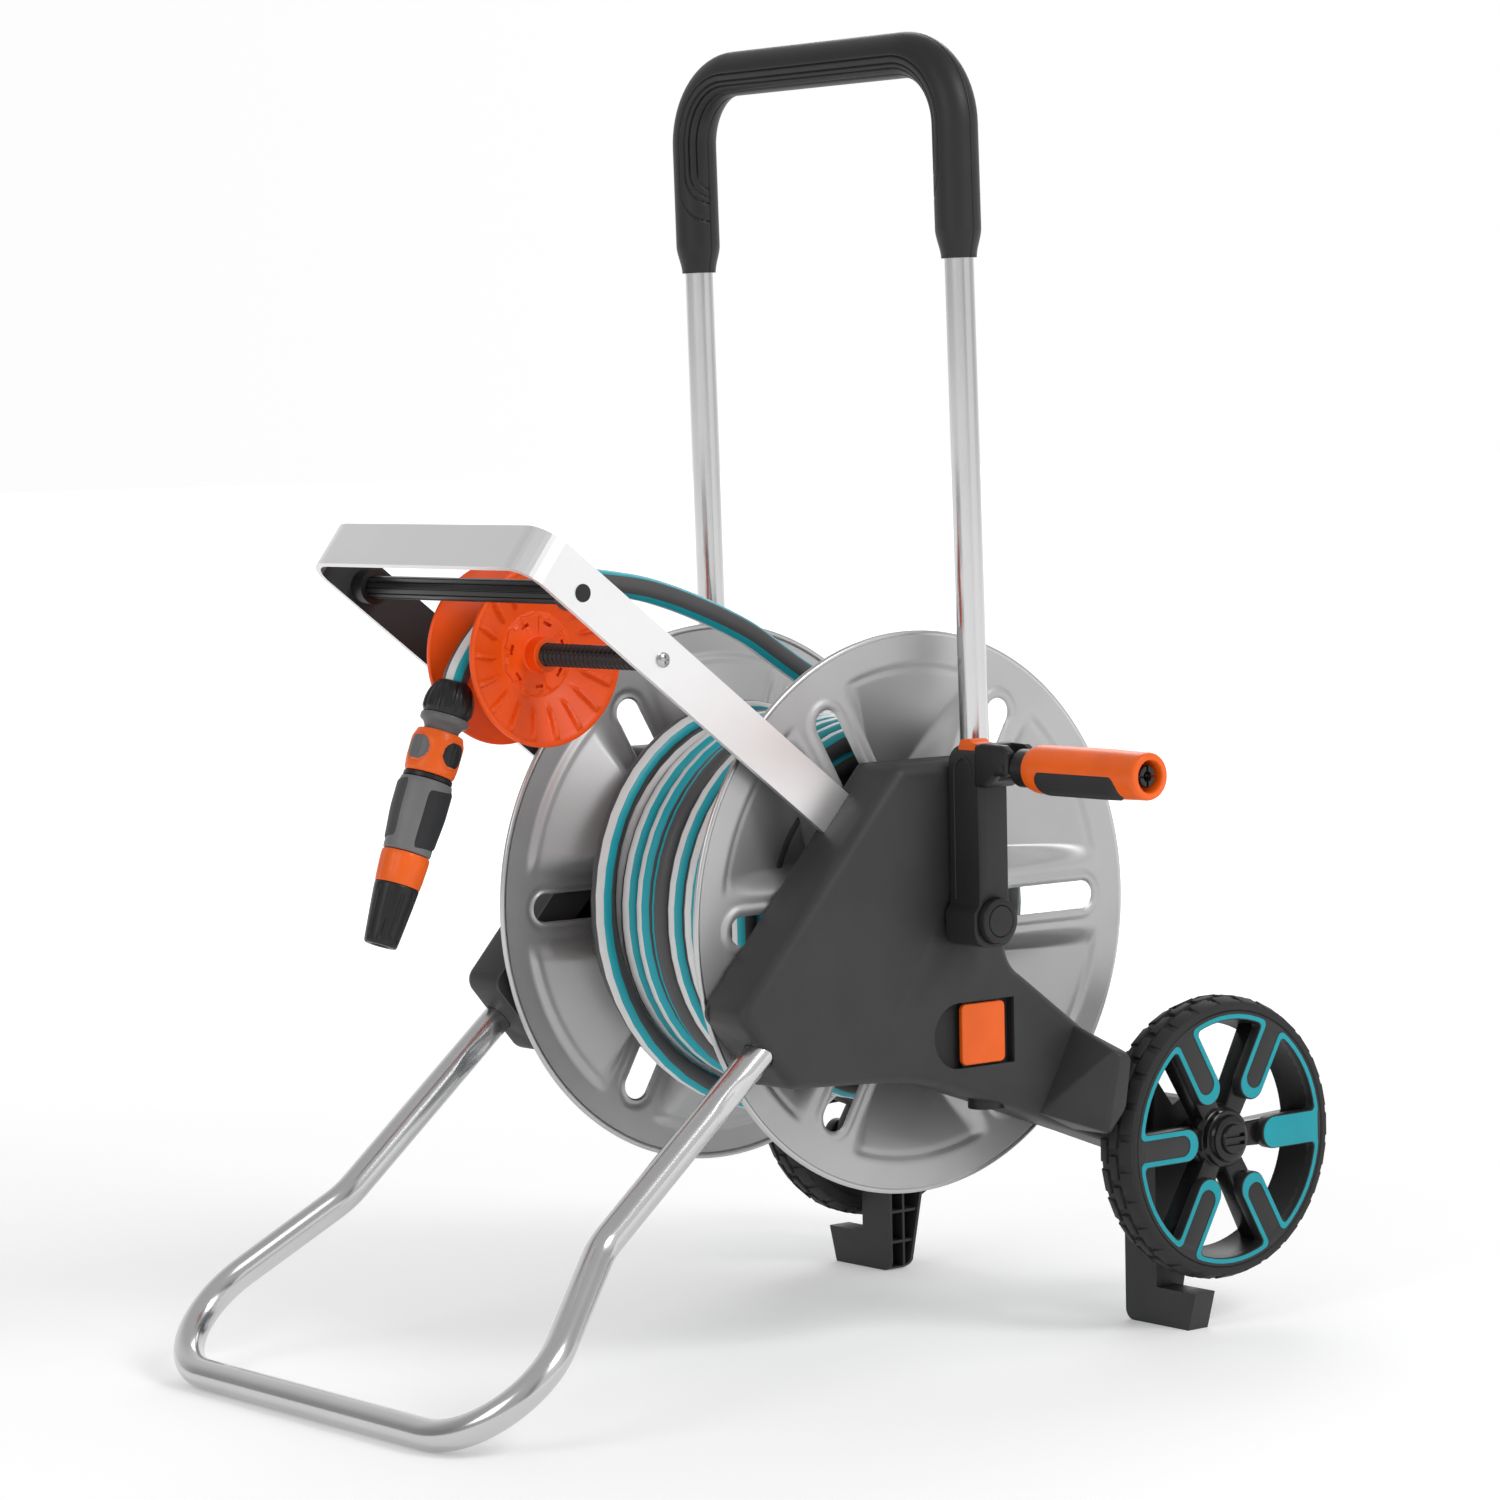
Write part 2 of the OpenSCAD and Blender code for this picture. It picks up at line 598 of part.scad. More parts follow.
// ---------- crank ----------
module crank_arm() {
    on_cart() color(c_black) difference() {
        union() {
            rod_x(18, arm_x0, arm_x1);
            rod_x(15.5, arm_x1 - 1, cap_x);
            plate_x(arm_x0, arm_x1) {
                translate([-arm_w, 0]) square([2 * arm_w, crank_len]);
                translate([0, crank_len - 2]) circle(arm_w);
            }
            // fork that carries the grip
            translate([0, 14, 0]) rotate([90, 0, 0]) linear_extrude(28) {
                polygon([[arm_x1 - 1, 91], [arm_x1 - 1, 117.5], [arm_x1 + 2, 119.5], [fork_end - 3, 119.5], [fork_end, 116.5],
                    [fork_end, crank_len], [hinge_x, crank_len], [hinge_x, crank_len - 5.5], [199, crank_len - 5.5], [199, 91]]);
                translate([hinge_x, crank_len]) circle(5.5);
            }
        }
        // hollow of the arm, open to the cover
        plate_x(arm_x0 - 1, arm_x1 - 6) translate([-arm_w + 3, 24]) square([2 * arm_w - 6, 66]);
        rod_x(axle_r, 0, arm_x1 - 2);
        rod_x(10.6, arm_x1 + 1, cap_x + 1);
        // slot of the knuckle and its pin
        translate([204, -7, 60]) cube([60, 14, 80]);
        translate([hinge_x, 20, crank_len]) rotate([90, 0, 0]) cylinder(r = 2.5, h = 40);
        // pocket of the button and its spring
        translate([165, -8.3, 107]) cube([24.6, 16.6, 20]);
        translate([176, 0, 96]) cylinder(r = 5, h = 30);
    }
}
module crank_cap() { on_cart() color(c_grey) rod_x(10.5, arm_x1 + 1, cap_x + 0.5); }
module fold_pin() {
    on_cart() color(c_steel) translate([hinge_x, 14.5, crank_len]) rotate([90, 0, 0]) cylinder(r = 2.45, h = 29);
}
module fold_button() {
    on_cart() color(c_orange) {
        translate([165.3, -8, 110.5]) cube([24, 16, 8]);
        translate([166, 8, 116]) rotate([90, 0, 0]) linear_extrude(16)
            polygon([[0, 0], [0, 4], [2, 6], [12, 6], [14, 3.5], [21, 3.5], [23, 1.5], [23, 0]]);
    }
}
module button_spring() {
    on_cart() color(c_steel) translate([176, 0, 96.2]) difference() {
        cylinder(r = 4.6, h = 14.1);
        translate([0, 0, -1]) cylinder(r = 3.8, h = 18);
    }
}
module crank_knuckle() {
    on_cart() color(c_black) difference() {
        union() {
            translate([0, 6.6, 0]) rotate([90, 0, 0]) linear_extrude(13.2) {
                translate([hinge_x, crank_len]) circle(7);
                translate([hinge_x, crank_len - 7]) square([6.5, 14]);
            }
            translate([0, 0, crank_len]) { rod_x(13, fork_end + 0.7, grip_x0 + 1.7); rod_x(5, fork_end, grip_end - 13); }
        }
        translate([hinge_x, 20, crank_len]) rotate([90, 0, 0]) cylinder(r = 2.45 + fit, h = 40);
    }
}
module grip_snap() {
    on_cart() color(c_black) translate([0, 0, crank_len]) difference() {
        rod_x(7.5, grip_end - 13, grip_end - 3);
        translate([grip_end - 10, -0.8, -10]) cube([20, 1.6, 20]);
    }
}
module crank_grip() {
    on_cart() color(c_orange) translate([0, 0, crank_len]) difference() {
        turn_x([[5 + fit, grip_x0 + 2], [14, grip_x0 + 2], [14, grip_x0], [15, grip_x0], [grip_r, grip_x0 + 5], [grip_r, grip_end - 25],
            [15.6, grip_end - 1.5], [14.6, grip_end], [10.5, grip_end], [10.5, grip_end - 14], [5 + fit, grip_end - 14]]);
        // recess of the soft pad, on the lower side
        translate([pad_x0, -20, -30]) cube([pad_x1 - pad_x0, 40, 30 - 6]);
    }
}
module grip_pad() {
    on_cart() color(c_black) translate([0, 0, crank_len]) intersection() {
        tube_x(grip_r, 6.5, pad_x0, pad_x1);
        translate([pad_x0, -20, -30]) cube([pad_x1 - pad_x0, 40, 30 - 6]);
    }
}

// ---------- handle ----------
module handle_tube() {
    color(c_chrome) at_handle() translate([handle_x, 0, tube_low]) difference() {
        cylinder(r = tube_r, h = tube_high - tube_low);
        translate([0, 0, -1]) cylinder(r = tube_r - 1.2, h = tube_high - tube_low + 2);
    }
}
module handle_tube_right() { on_cart() handle_tube(); }
module handle_tube_left() { on_cart() side(-1) handle_tube(); }
module tube_plugs() {
    on_cart() color(c_black) for (s = [-1, 1]) side(s) at_handle() translate([handle_x, 0, tube_low]) {
        translate([0, 0, -3]) cylinder(r = tube_r, h = 3);
        cylinder(r = tube_r - 1.25, h = 12);
    }
}
// One leg, one bend and half of the bar of the hand grip
module grip_half_u() {
    translate([handle_x, 0, grip_low]) difference() {
        union() {
            cylinder(r1 = 12.3, r2 = grip_or, h = 16);
            translate([0, 0, 16]) cylinder(r = grip_or, h = grip_top - grip_or - grip_bend - grip_low - 16);
        }
        translate([0, 0, -1]) cylinder(r = tube_r + fit, h = tube_high - grip_low + 1);
    }
    translate([handle_x - grip_bend, 0, grip_top - grip_or - grip_bend]) rotate([90, 0, 0])
        rotate_extrude(angle = 90) translate([grip_bend, 0]) circle(grip_or);
    translate([0, 0, grip_top - grip_or]) rod_x(grip_or, -0.01, handle_x - grip_bend);
}
module grip_half(front) {
    color(c_cover) at_handle() intersection() {
        union() { grip_half_u(); side(-1) grip_half_u(); }
        translate([-300, front ? -50 : 0.05, 0]) cube([600, 50, 700]);
    }
}
module grip_front() { on_cart() grip_half(true); }
module grip_rear() { on_cart() grip_half(false); }

module latch() {
    color(c_orange) {
        plate_x(cover_x - 3.4, cover_x - 0.4) translate([(latch_y0 + latch_y1) / 2, latch_z])
            rounded_box(latch_y1 - latch_y0, latch_h, 4);
        // runner behind the cover and nose beside the handle tube
        plate_x(cover_x - 6, cover_x - 4.3) translate([latch_y0 + 3, latch_z - 26.5]) square([34, 53]);
        plate_x(cover_x - 4.4, cover_x - 3) translate([latch_y0 + 8, latch_z - 15]) square([24, 30]);
        translate([0, 8, latch_z]) rod_x(5, cover_x - 20, cover_x - 5);
    }
}
module rounded_box(w, h, r) {
    square([w - 2 * r, h], center = true);
    square([w, h - 2 * r], center = true);
    for (a = [-1, 1], b = [-1, 1]) translate([a * (w / 2 - r), b * (h / 2 - r)]) circle(r);
}
module latch_right() { on_cart() latch(); }
module latch_left() { on_cart() side(-1) latch(); }

// ---------- water inlet ----------
module inlet_elbow() {
    on_cart() color(c_grey) difference() {
        union() {
            rod_x(19, -192, -cover_x - 2.5);
            translate([-182, 0, 0]) sphere(r = 16);
            translate([-182, 0, -52]) cylinder(r = 10.5, h = 46);
            translate([-182, 0, -59]) cylinder(r = 6.2, h = 8);
            translate([-182, 0, -63]) cylinder(r = 8.5, h = 4.2);
            translate([-182, 0, -75]) cylinder(r = 7.4, h = 12.2);
        }
        rod_x(axle_r + fit, -175, -cover_x);
        translate([-182, 0, -80]) cylinder(r = 5, h = 82);
        rod_x(5, -182, -170);
    }
}
module inlet_nut() {
    on_cart() color(c_black) difference() {
        translate([-182, 0, -46]) cylinder(r = 14, h = 12);
        translate([-182, 0, -60]) cylinder(r = 10.5, h = 40);
    }
}

side_shell_right();
side_shell_left();
side_inner_right();
side_inner_left();
rear_leg_right();
rear_leg_left();
wheel_axle();
foot_bow();
guide_bracket();
upper_rod();
rod_plugs();
spindle();
spindle_screws();
shell_screws();
axle_bushes();
tube_guides();
reel_core();
flange_right();
flange_left();
hub_right();
hub_left();
reel_axle();
water_pipe();
wound_hose();
crank_arm();
crank_cap();
fold_pin();
button_spring();
fold_button();
crank_knuckle();
grip_snap();
crank_grip();
grip_pad();
handle_tube_right();
handle_tube_left();
grip_front();
grip_rear();
tube_plugs();
latch_right();
latch_left();
tyre_right();
rim_right();
hub_cap_right();
tyre_left();
rim_left();
hub_cap_left();
hose_span();
union_nut();
connector_body();
connector_sleeve();
nozzle_body();
nozzle_ring();
nozzle_tip();
pulley_near();
pulley_far();
inlet_elbow();
inlet_nut();
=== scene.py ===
"""Looks of the hose reel cart: detailed pieces and materials on the CAD frame."""
import json
import math

import bmesh
import bpy
from mathutils import Matrix, Vector


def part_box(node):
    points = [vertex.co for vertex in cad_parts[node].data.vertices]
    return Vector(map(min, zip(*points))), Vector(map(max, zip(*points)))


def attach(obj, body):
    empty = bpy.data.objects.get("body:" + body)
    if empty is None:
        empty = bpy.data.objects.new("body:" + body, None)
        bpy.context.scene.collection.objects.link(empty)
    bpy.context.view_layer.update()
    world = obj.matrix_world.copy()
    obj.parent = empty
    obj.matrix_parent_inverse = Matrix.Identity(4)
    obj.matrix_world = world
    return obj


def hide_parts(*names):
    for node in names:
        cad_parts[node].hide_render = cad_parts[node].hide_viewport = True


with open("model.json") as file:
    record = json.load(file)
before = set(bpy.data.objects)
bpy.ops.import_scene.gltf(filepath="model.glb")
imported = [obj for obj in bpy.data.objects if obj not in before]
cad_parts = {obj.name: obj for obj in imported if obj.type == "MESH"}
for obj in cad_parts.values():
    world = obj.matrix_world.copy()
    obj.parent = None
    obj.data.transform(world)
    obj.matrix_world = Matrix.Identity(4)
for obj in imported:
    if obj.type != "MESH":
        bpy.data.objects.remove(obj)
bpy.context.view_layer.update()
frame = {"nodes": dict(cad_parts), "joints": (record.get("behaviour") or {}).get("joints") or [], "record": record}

MM = 0.001
JOINTS = {j["name"]: j for j in frame["joints"]}
AXLE = Vector(JOINTS["reel_spin"]["pos_m"])
WHEEL = Vector(JOINTS["wheel_right_spin"]["pos_m"]) - AXLE
SPINDLE = Vector(JOINTS["pulley_spin"]["pos_m"]) - AXLE


def at(x, y, z):
    """A point given in mm from the middle of the reel axle, in the row frame."""
    return AXLE + Vector((x, y, z)) * MM


# ---------------------------------------------------------------- materials
def nodes_of(name):
    material = bpy.data.materials.new(name)
    material.use_nodes = True
    tree = material.node_tree
    return material, tree, tree.nodes["Principled BSDF"]


def add(tree, kind, **inputs):
    node = tree.nodes.new(kind)
    for key, value in inputs.items():
        node.inputs[key.replace("_", " ")].default_value = value
    return node


def worked(tree, kind, operation, *sources):
    """A math node that works on the given outputs."""
    node = tree.nodes.new(kind)
    node.operation = operation
    for i, source in enumerate(sources):
        tree.links.new(source, node.inputs[i])
    return node


def set_stops(ramp, bands):
    """Sets a colour ramp's stops to (position, colour) pairs."""
    stops = ramp.color_ramp.elements
    while len(stops) < len(bands):
        stops.new(0.5)
    for stop, (where, colour) in zip(stops, bands):
        stop.position = where
        stop.color = [*colour, 1]


def clouded(tree, place, shader, colour, vary, scale, detail, low):
    """Base colour that drifts a little darker and lighter in soft clouds."""
    cloud = add(tree, "ShaderNodeTexNoise", Scale=scale, Detail=detail)
    tree.links.new(place.outputs["Object"], cloud.inputs["Vector"])
    ramp = tree.nodes.new("ShaderNodeValToRGB")
    set_stops(ramp, [(low, [c * (1 - vary) for c in colour]),
                     (1 - low, [min(1, c * (1 + vary)) for c in colour])])
    tree.links.new(cloud.outputs["Fac"], ramp.inputs["Fac"])
    tree.links.new(ramp.outputs["Color"], shader.inputs["Base Color"])


def glossed(tree, shader, noise, low, high):
    gloss = add(tree, "ShaderNodeMapRange", To_Min=low, To_Max=high)
    tree.links.new(noise.outputs["Fac"], gloss.inputs["Value"])
    tree.links.new(gloss.outputs["Result"], shader.inputs["Roughness"])


def raised(tree, shader, noise, bump, distance):
    rise = add(tree, "ShaderNodeBump", Strength=bump, Distance=distance)
    tree.links.new(noise.outputs["Fac"], rise.inputs["Height"])
    tree.links.new(rise.outputs["Normal"], shader.inputs["Normal"])


def moulded(name, colour, rough=0.45, grain=900.0, bump=0.10, vary=0.10, coat=0.0):
    """Moulded plastic or rubber: fine grain, faint cloudiness in colour and gloss."""
    material, tree, shader = nodes_of(name)
    place = tree.nodes.new("ShaderNodeTexCoord")
    fine = add(tree, "ShaderNodeTexNoise", Scale=grain, Detail=2.0)
    tree.links.new(place.outputs["Object"], fine.inputs["Vector"])
    clouded(tree, place, shader, colour, vary, 22.0, 4.0, 0.3)
    glossed(tree, shader, fine, rough - 0.05, rough + 0.06)
    raised(tree, shader, fine, bump, 0.0004)
    shader.inputs["Coat Weight"].default_value = coat
    shader.inputs["Specular IOR Level"].default_value = 0.36
    return material


def metal(name, colour, rough, stretch=(1, 1, 1), scale=60.0, bump=0.05, vary=0.06, spread=0.08,
          metallic=1.0):
    """Bare metal: streaks along the brushing, or a faint even cloud."""
    material, tree, shader = nodes_of(name)
    place = tree.nodes.new("ShaderNodeTexCoord")
    turn = add(tree, "ShaderNodeMapping", Scale=stretch)
    streak = add(tree, "ShaderNodeTexNoise", Scale=scale, Detail=5.0)
    tree.links.new(place.outputs["Object"], turn.inputs["Vector"])
    tree.links.new(turn.outputs["Vector"], streak.inputs["Vector"])
    clouded(tree, place, shader, colour, vary, 9.0, 3.0, 0.35)
    glossed(tree, shader, streak, max(0.02, rough - spread), rough + spread)
    raised(tree, shader, streak, bump, 0.0002)
    shader.inputs["Metallic"].default_value = metallic
    return material


def striped_hose(name):
    """Grey hose with two pairs of a white and a teal stripe, one the mirror image of the other."""
    material, tree, shader = nodes_of(name)
    link = tree.links.new
    place = tree.nodes.new("ShaderNodeTexCoord")
    parts = tree.nodes.new("ShaderNodeSeparateXYZ")
    link(place.outputs["UV"], parts.inputs["Vector"])
    wrap = worked(tree, "ShaderNodeMath", "FRACT", parts.outputs["Y"])
    ramp = tree.nodes.new("ShaderNodeValToRGB")
    ramp.color_ramp.interpolation = "CONSTANT"
    set_stops(ramp, [(0.0, HOSE_GREY), (0.165, HOSE_WHITE), (0.28, HOSE_TEAL), (0.385, HOSE_GREY),
                     (0.615, HOSE_TEAL), (0.72, HOSE_WHITE), (0.835, HOSE_GREY)])
    link(wrap.outputs["Value"], ramp.inputs["Fac"])
    dust = add(tree, "ShaderNodeTexNoise", Scale=40.0, Detail=4.0)
    link(place.outputs["Object"], dust.inputs["Vector"])
    shade = add(tree, "ShaderNodeMapRange", To_Min=0.86, To_Max=1.08)
    link(dust.outputs["Fac"], shade.inputs["Value"])
    tint = worked(tree, "ShaderNodeVectorMath", "SCALE", ramp.outputs["Color"])
    link(shade.outputs["Result"], tint.inputs["Scale"])
    link(tint.outputs["Vector"], shader.inputs["Base Color"])
    weave = add(tree, "ShaderNodeTexNoise", Scale=700.0, Detail=2.0)
    link(place.outputs["Object"], weave.inputs["Vector"])
    raised(tree, shader, weave, 0.08, 0.0003)
    glossed(tree, shader, dust, 0.36, 0.50)
    return material


HOSE_GREY = (0.070, 0.070, 0.073)
HOSE_WHITE = (0.70, 0.70, 0.70)
HOSE_TEAL = (0.0, 0.36, 0.43)

cover_grey = moulded("cover_plastic", (0.033, 0.033, 0.0345), rough=0.50, grain=1100)
black = moulded("black_plastic", (0.012, 0.012, 0.013), rough=0.36, grain=900, bump=0.06)
crank_grey = moulded("crank_plastic", (0.018, 0.018, 0.019), rough=0.46, grain=1000)
orange = moulded("orange_plastic", (0.82, 0.115, 0.004), rough=0.38, grain=700, bump=0.05, coat=0.05)
pulley_orange = moulded("pulley_plastic", (0.84, 0.082, 0.001), rough=0.42, grain=700, bump=0.05)
teal = moulded("teal_plastic", (0.0, 0.31, 0.37), rough=0.40, grain=900, bump=0.05)
grey = moulded("grey_plastic", (0.12, 0.12, 0.123), rough=0.42, grain=900)
light_grey = moulded("light_grey_plastic", (0.155, 0.155, 0.158), rough=0.42, grain=900)
soft = moulded("soft_rubber", (0.022, 0.022, 0.024), rough=0.62, grain=1500, bump=0.25)
grip_soft = moulded("grip_rubber", (0.014, 0.014, 0.015), rough=0.46, grain=1500, bump=0.15)
# Painted light: the same black rubber as the right nozzle pad, made lighter so that the left pad looks lit
painted_lit_grip_rubber = moulded("grip_rubber_light", (0.050, 0.050, 0.052), rough=0.55, grain=1500, bump=0.2)
tyre_black = moulded("tyre_rubber", (0.020, 0.020, 0.021), rough=0.66, grain=600, bump=0.3)
rim_black = moulded("rim_plastic", (0.022, 0.022, 0.023), rough=0.42, grain=900)
gloss_black = moulded("gloss_black", (0.010, 0.010, 0.011), rough=0.22, grain=500, bump=0.03)
sheet_steel = metal("galvanised_sheet", (0.47, 0.47, 0.475), 0.44, scale=45, bump=0.04, spread=0.05,
                    metallic=0.65)
rim_steel = metal("rim_bead_steel", (0.55, 0.55, 0.55), 0.36, scale=60)
chrome = metal("chrome_tube", (0.60, 0.60, 0.605), 0.20, scale=30, bump=0.01, vary=0.03, spread=0.04)
aluminium = metal("brushed_aluminium", (0.86, 0.86, 0.865), 0.40, stretch=(0.6, 40, 40), scale=30,
                  bump=0.10, vary=0.02)
zinc = metal("zinc_steel", (0.45, 0.45, 0.46), 0.28, scale=80)
hose_look = striped_hose("hose_rubber")

# What the record's slots look like on a CAD node that is shown as it is
SLOT_LOOKS = {
    "cover_plastic": cover_grey, "black_plastic": black, "orange_plastic": orange,
    "grey_plastic": grey, "soft_rubber": soft, "tyre_rubber": tyre_black,
    "galvanised_sheet": sheet_steel, "zinc_steel": zinc, "chrome_tube": chrome,
    "brushed_aluminium": aluminium, "hose_rubber": hose_look}
SLOT_OF = {s["node"]: s["material_slot"] for s in frame["record"]["subparts"]}


# ---------------------------------------------------------------- mesh helpers
def smooth(obj, angle=35.0):
    obj.data.polygons.foreach_set("use_smooth", [True] * len(obj.data.polygons))
    obj.data.set_sharp_from_angle(angle=math.radians(angle))


def placed(name, data):
    """A new object with this data, linked into the scene."""
    obj = bpy.data.objects.new(name, data)
    bpy.context.scene.collection.objects.link(obj)
    return obj


def raw(name, points, faces):
    """A mesh object from points in mm from the reel axle."""
    data = bpy.data.meshes.new(name)
    data.from_pydata([at(*p) for p in points], [], faces)
    obj = placed(name, data)
    work = bmesh.new()
    work.from_mesh(data)
    bmesh.ops.recalc_face_normals(work, faces=work.faces)
    work.to_mesh(data)
    work.free()
    return obj


def bake(obj):
    """Turns the object's modifiers into its mesh."""
    deps = bpy.context.evaluated_depsgraph_get()
    deps.update()
    data = bpy.data.meshes.new_from_object(obj.evaluated_get(deps))
    obj.modifiers.clear()
    obj.data = data
    return obj


def cut(obj, *cutters):
    for cutter in cutters:
        modifier = obj.modifiers.new("cut", "BOOLEAN")
        modifier.operation = "DIFFERENCE"
        modifier.solver = "EXACT"
        modifier.object = cutter
    bake(obj)
    for cutter in cutters:
        bpy.data.objects.remove(cutter)
    return obj


def bevel(obj, width, segments=2, angle=40.0):
    modifier = obj.modifiers.new("bevel", "BEVEL")
    modifier.width = width * MM
    modifier.segments = segments
    modifier.limit_method = "ANGLE"
    modifier.angle_limit = math.radians(angle)
    modifier.harden_normals = False
    return bake(obj)


def done(obj, material, body, stands_for=(), angle=35.0):
    """Gives a piece its finish and its body, and hides the CAD nodes it stands for."""
    obj.data.materials.clear()
    obj.data.materials.append(material)
    smooth(obj, angle)
    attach(obj, body)
    if stands_for:
        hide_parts(*stands_for)
    return obj


def mirrored(obj, name):
    """The same piece on the cart's other side."""
    data = obj.data.copy()
    middle = Matrix.Translation((AXLE.x, 0, 0))
    data.transform(middle @ Matrix.Scale(-1, 4, (1, 0, 0)) @ middle.inverted())
    data.flip_normals()
    return placed(name, data)


# Moving bodies that come as a right and a left one
BODY_PAIRS = {"latch": ("latch_r", "latch_l"), "wheel": ("wheel_r", "wheel_l")}


def pair(obj, material, body, node=None, angle=35.0):
    """Finishes a piece of the right side and its mirror image on the left."""
    left = mirrored(obj, obj.name.replace("_right", "") + "_left")
    bodies = BODY_PAIRS.get(body, (body, body))
    for twin, twin_body, side in zip((obj, left), bodies, ("right", "left")):
        done(twin, material, twin_body, [f"{node}_{side}"] if node else (), angle)


def arc(cy, cz, r, a0, a1, n=8):
    return [(cy + r * math.cos(math.radians(a0 + (a1 - a0) * i / n)),
             cz + r * math.sin(math.radians(a0 + (a1 - a0) * i / n))) for i in range(n + 1)]


def rounded(corners, steps=6):
    """Outline through (a, b, radius) corners with each corner rounded."""
    out = []
    for i, (ya, za, r) in enumerate(corners):
        b = Vector((ya, za))
        if r <= 0:
            out.append((ya, za))
            continue
        u = (Vector(corners[i - 1][:2]) - b)
        v = (Vector(corners[(i + 1) % len(corners)][:2]) - b)
        room = 0.49 * min(u.length, v.length)
        u.normalize()
        v.normalize()
        half = u.angle(v) / 2
        t = min(r / math.tan(half), room)
        r = t * math.tan(half)
        middle = b + (u + v).normalized() * (r / math.sin(half))
        p, q = b + u * t - middle, b + v * t - middle
        turn = p.angle(q)
        for k in range(steps + 1):
            w = k / steps
            point = middle + (p * math.sin((1 - w) * turn) + q * math.sin(w * turn)) / math.sin(turn)
            out.append((point.x, point.y))
    return out


def offset(outline, d):
    """The outline moved inwards by d, for a counter-clockwise outline."""
    points = [Vector(p) for p in outline]
    out = []
    for i, b in enumerate(points):
        u = (b - points[i - 1]).normalized()
        v = (points[(i + 1) % len(points)] - b).normalized()
        nu, nv = Vector((-u.y, u.x)), Vector((-v.y, v.x))
        point = b + (nu + nv) * (d / (1 + nu.dot(nv)))
        out.append((point.x, point.y))
    return out


def loft(name, rings, closed=False, caps=True):
    """A skin over rings of equally many points, with its two ends closed."""
    n = len(rings[0])
    points = [p for ring in rings for p in ring]
    faces = []
    last = len(rings) if closed else len(rings) - 1
    for i in range(last):
        a, b = i * n, (i + 1) % len(rings) * n
        faces += [(a + k, a + (k + 1) % n, b + (k + 1) % n, b + k) for k in range(n)]
    if caps and not closed:
        faces += [tuple(reversed(range(n))), tuple(range((len(rings) - 1) * n, len(rings) * n))]
    return raw(name, points, faces)


def slab(name, outline, x0, x1, out=0.0, inn=0.0, steps=5):
    """A plate across X with its outer and inner rims rounded."""
    def rim(x, size, inwards):
        """Rings from the plate's side wall to its face at x."""
        if not size:
            return [[(x, *p) for p in outline]]
        rings = []
        for k in range(steps + 1):
            a = math.pi / 2 * k / steps
            level = x + inwards * size * (1 - math.sin(a))
            rings.append([(level, *p) for p in offset(outline, size * (1 - math.cos(a)))])
        return rings
    return loft(name, rim(x0, inn, 1)[::-1] + rim(x1, out, -1))


def across_y(name, outline, y0, y1, out=0.0):
    """A plate across Y, its outline in (x, z)."""
    obj = slab(name, outline, y0, y1, out, out)
    for v in obj.data.vertices:
        p = (v.co - AXLE) / MM
        v.co = at(p.y, p.x, p.z)
    obj.data.flip_normals()
    return obj


def lathe(name, profile, start, direction, segments=64, fluting=None):
    """A profile of (radius, length along) turned about an axis; fluting(angle, r, t) returns the radius."""
    axis = Vector(direction).normalized()
    side = axis.cross(Vector((0.31, 0.17, 0.93))).normalized()
    if abs(axis.x) > 0.9:
        side = Vector((0, 1, 0))
    up = axis.cross(side)
    rings = []
    for r, t in profile:
        ring = []
        for k in range(segments):
            a = 2 * math.pi * k / segments
            rr = fluting(a, r, t) if fluting else r
            ring.append(tuple(Vector(start) + axis * t + (side * math.cos(a) + up * math.sin(a)) * rr))
        rings.append(ring)
    return loft(name, rings)


def turned(name, profile, segments):
    """A closed profile of (radius, x) turned about the reel axle."""
    rings = []
    for k in range(segments):
        a = 2 * math.pi * k / segments
        rings.append([(x, r * math.cos(a), r * math.sin(a)) for r, x in profile])
    return loft(name, rings, closed=True, caps=False)


def frames(path, first):
    """Directions square to the path. They start from first and go along without twist, or always
    point away from the reel axle where first is None."""
    points = [Vector(p) for p in path]
    out = []
    side = Vector(first) if first else None
    for i, p in enumerate(points):
        t = (points[min(i + 1, len(points) - 1)] - points[max(i - 1, 0)]).normalized()
        if not first:
            side = Vector((0, p.y, p.z)).normalized()
        side = (side - t * side.dot(t)).normalized()
        out.append((p, t, side, t.cross(side)))
    return out


def tube(name, path, radius, sides=32, first=(0, 0, 1), shape=None, roll=None, span=(0, 360)):
    """A tube along the path. shape(s, angle) returns its radius and roll(s, p) its turn, s being
    the length from the start. The map's U is that length, and V goes round once."""
    points, faces, uvs, marks = [], [], [], []
    length = 0.0
    previous = None
    n = sides if span[1] - span[0] >= 360 else sides + 1
    for p, t, side, up in frames(path, first):
        length += (p - previous).length if previous is not None else 0.0
        previous = p
        extra = roll(length, p) if roll else 0.0
        for k in range(n):
            a = math.radians(span[0] + (span[1] - span[0]) * k / sides)
            r = shape(length, a) if shape else radius
            points.append(p + side * math.cos(a + extra) * r + up * math.sin(a + extra) * r)
        marks.append(length)
    rings = len(marks)
    for i in range(rings - 1):
        for k in range(n):
            j = (k + 1) % n
            faces.append((i * n + k, i * n + j, (i + 1) * n + j, (i + 1) * n + k))
            v0, v1 = k / sides, (k + 1) / sides
            uvs += [(marks[i], v0), (marks[i], v1), (marks[i + 1], v1), (marks[i + 1], v0)]
    faces += [tuple(reversed(range(n))), tuple(range((rings - 1) * n, rings * n))]
    uvs += [(0.0, 0.1)] * (2 * n)
    data = bpy.data.meshes.new(name)
    data.from_pydata([at(*p) for p in points], [], faces)
    layer = data.uv_layers.new(name="along")
    layer.data.foreach_set("uv", [c for mark in uvs for c in mark])
    return placed(name, data)


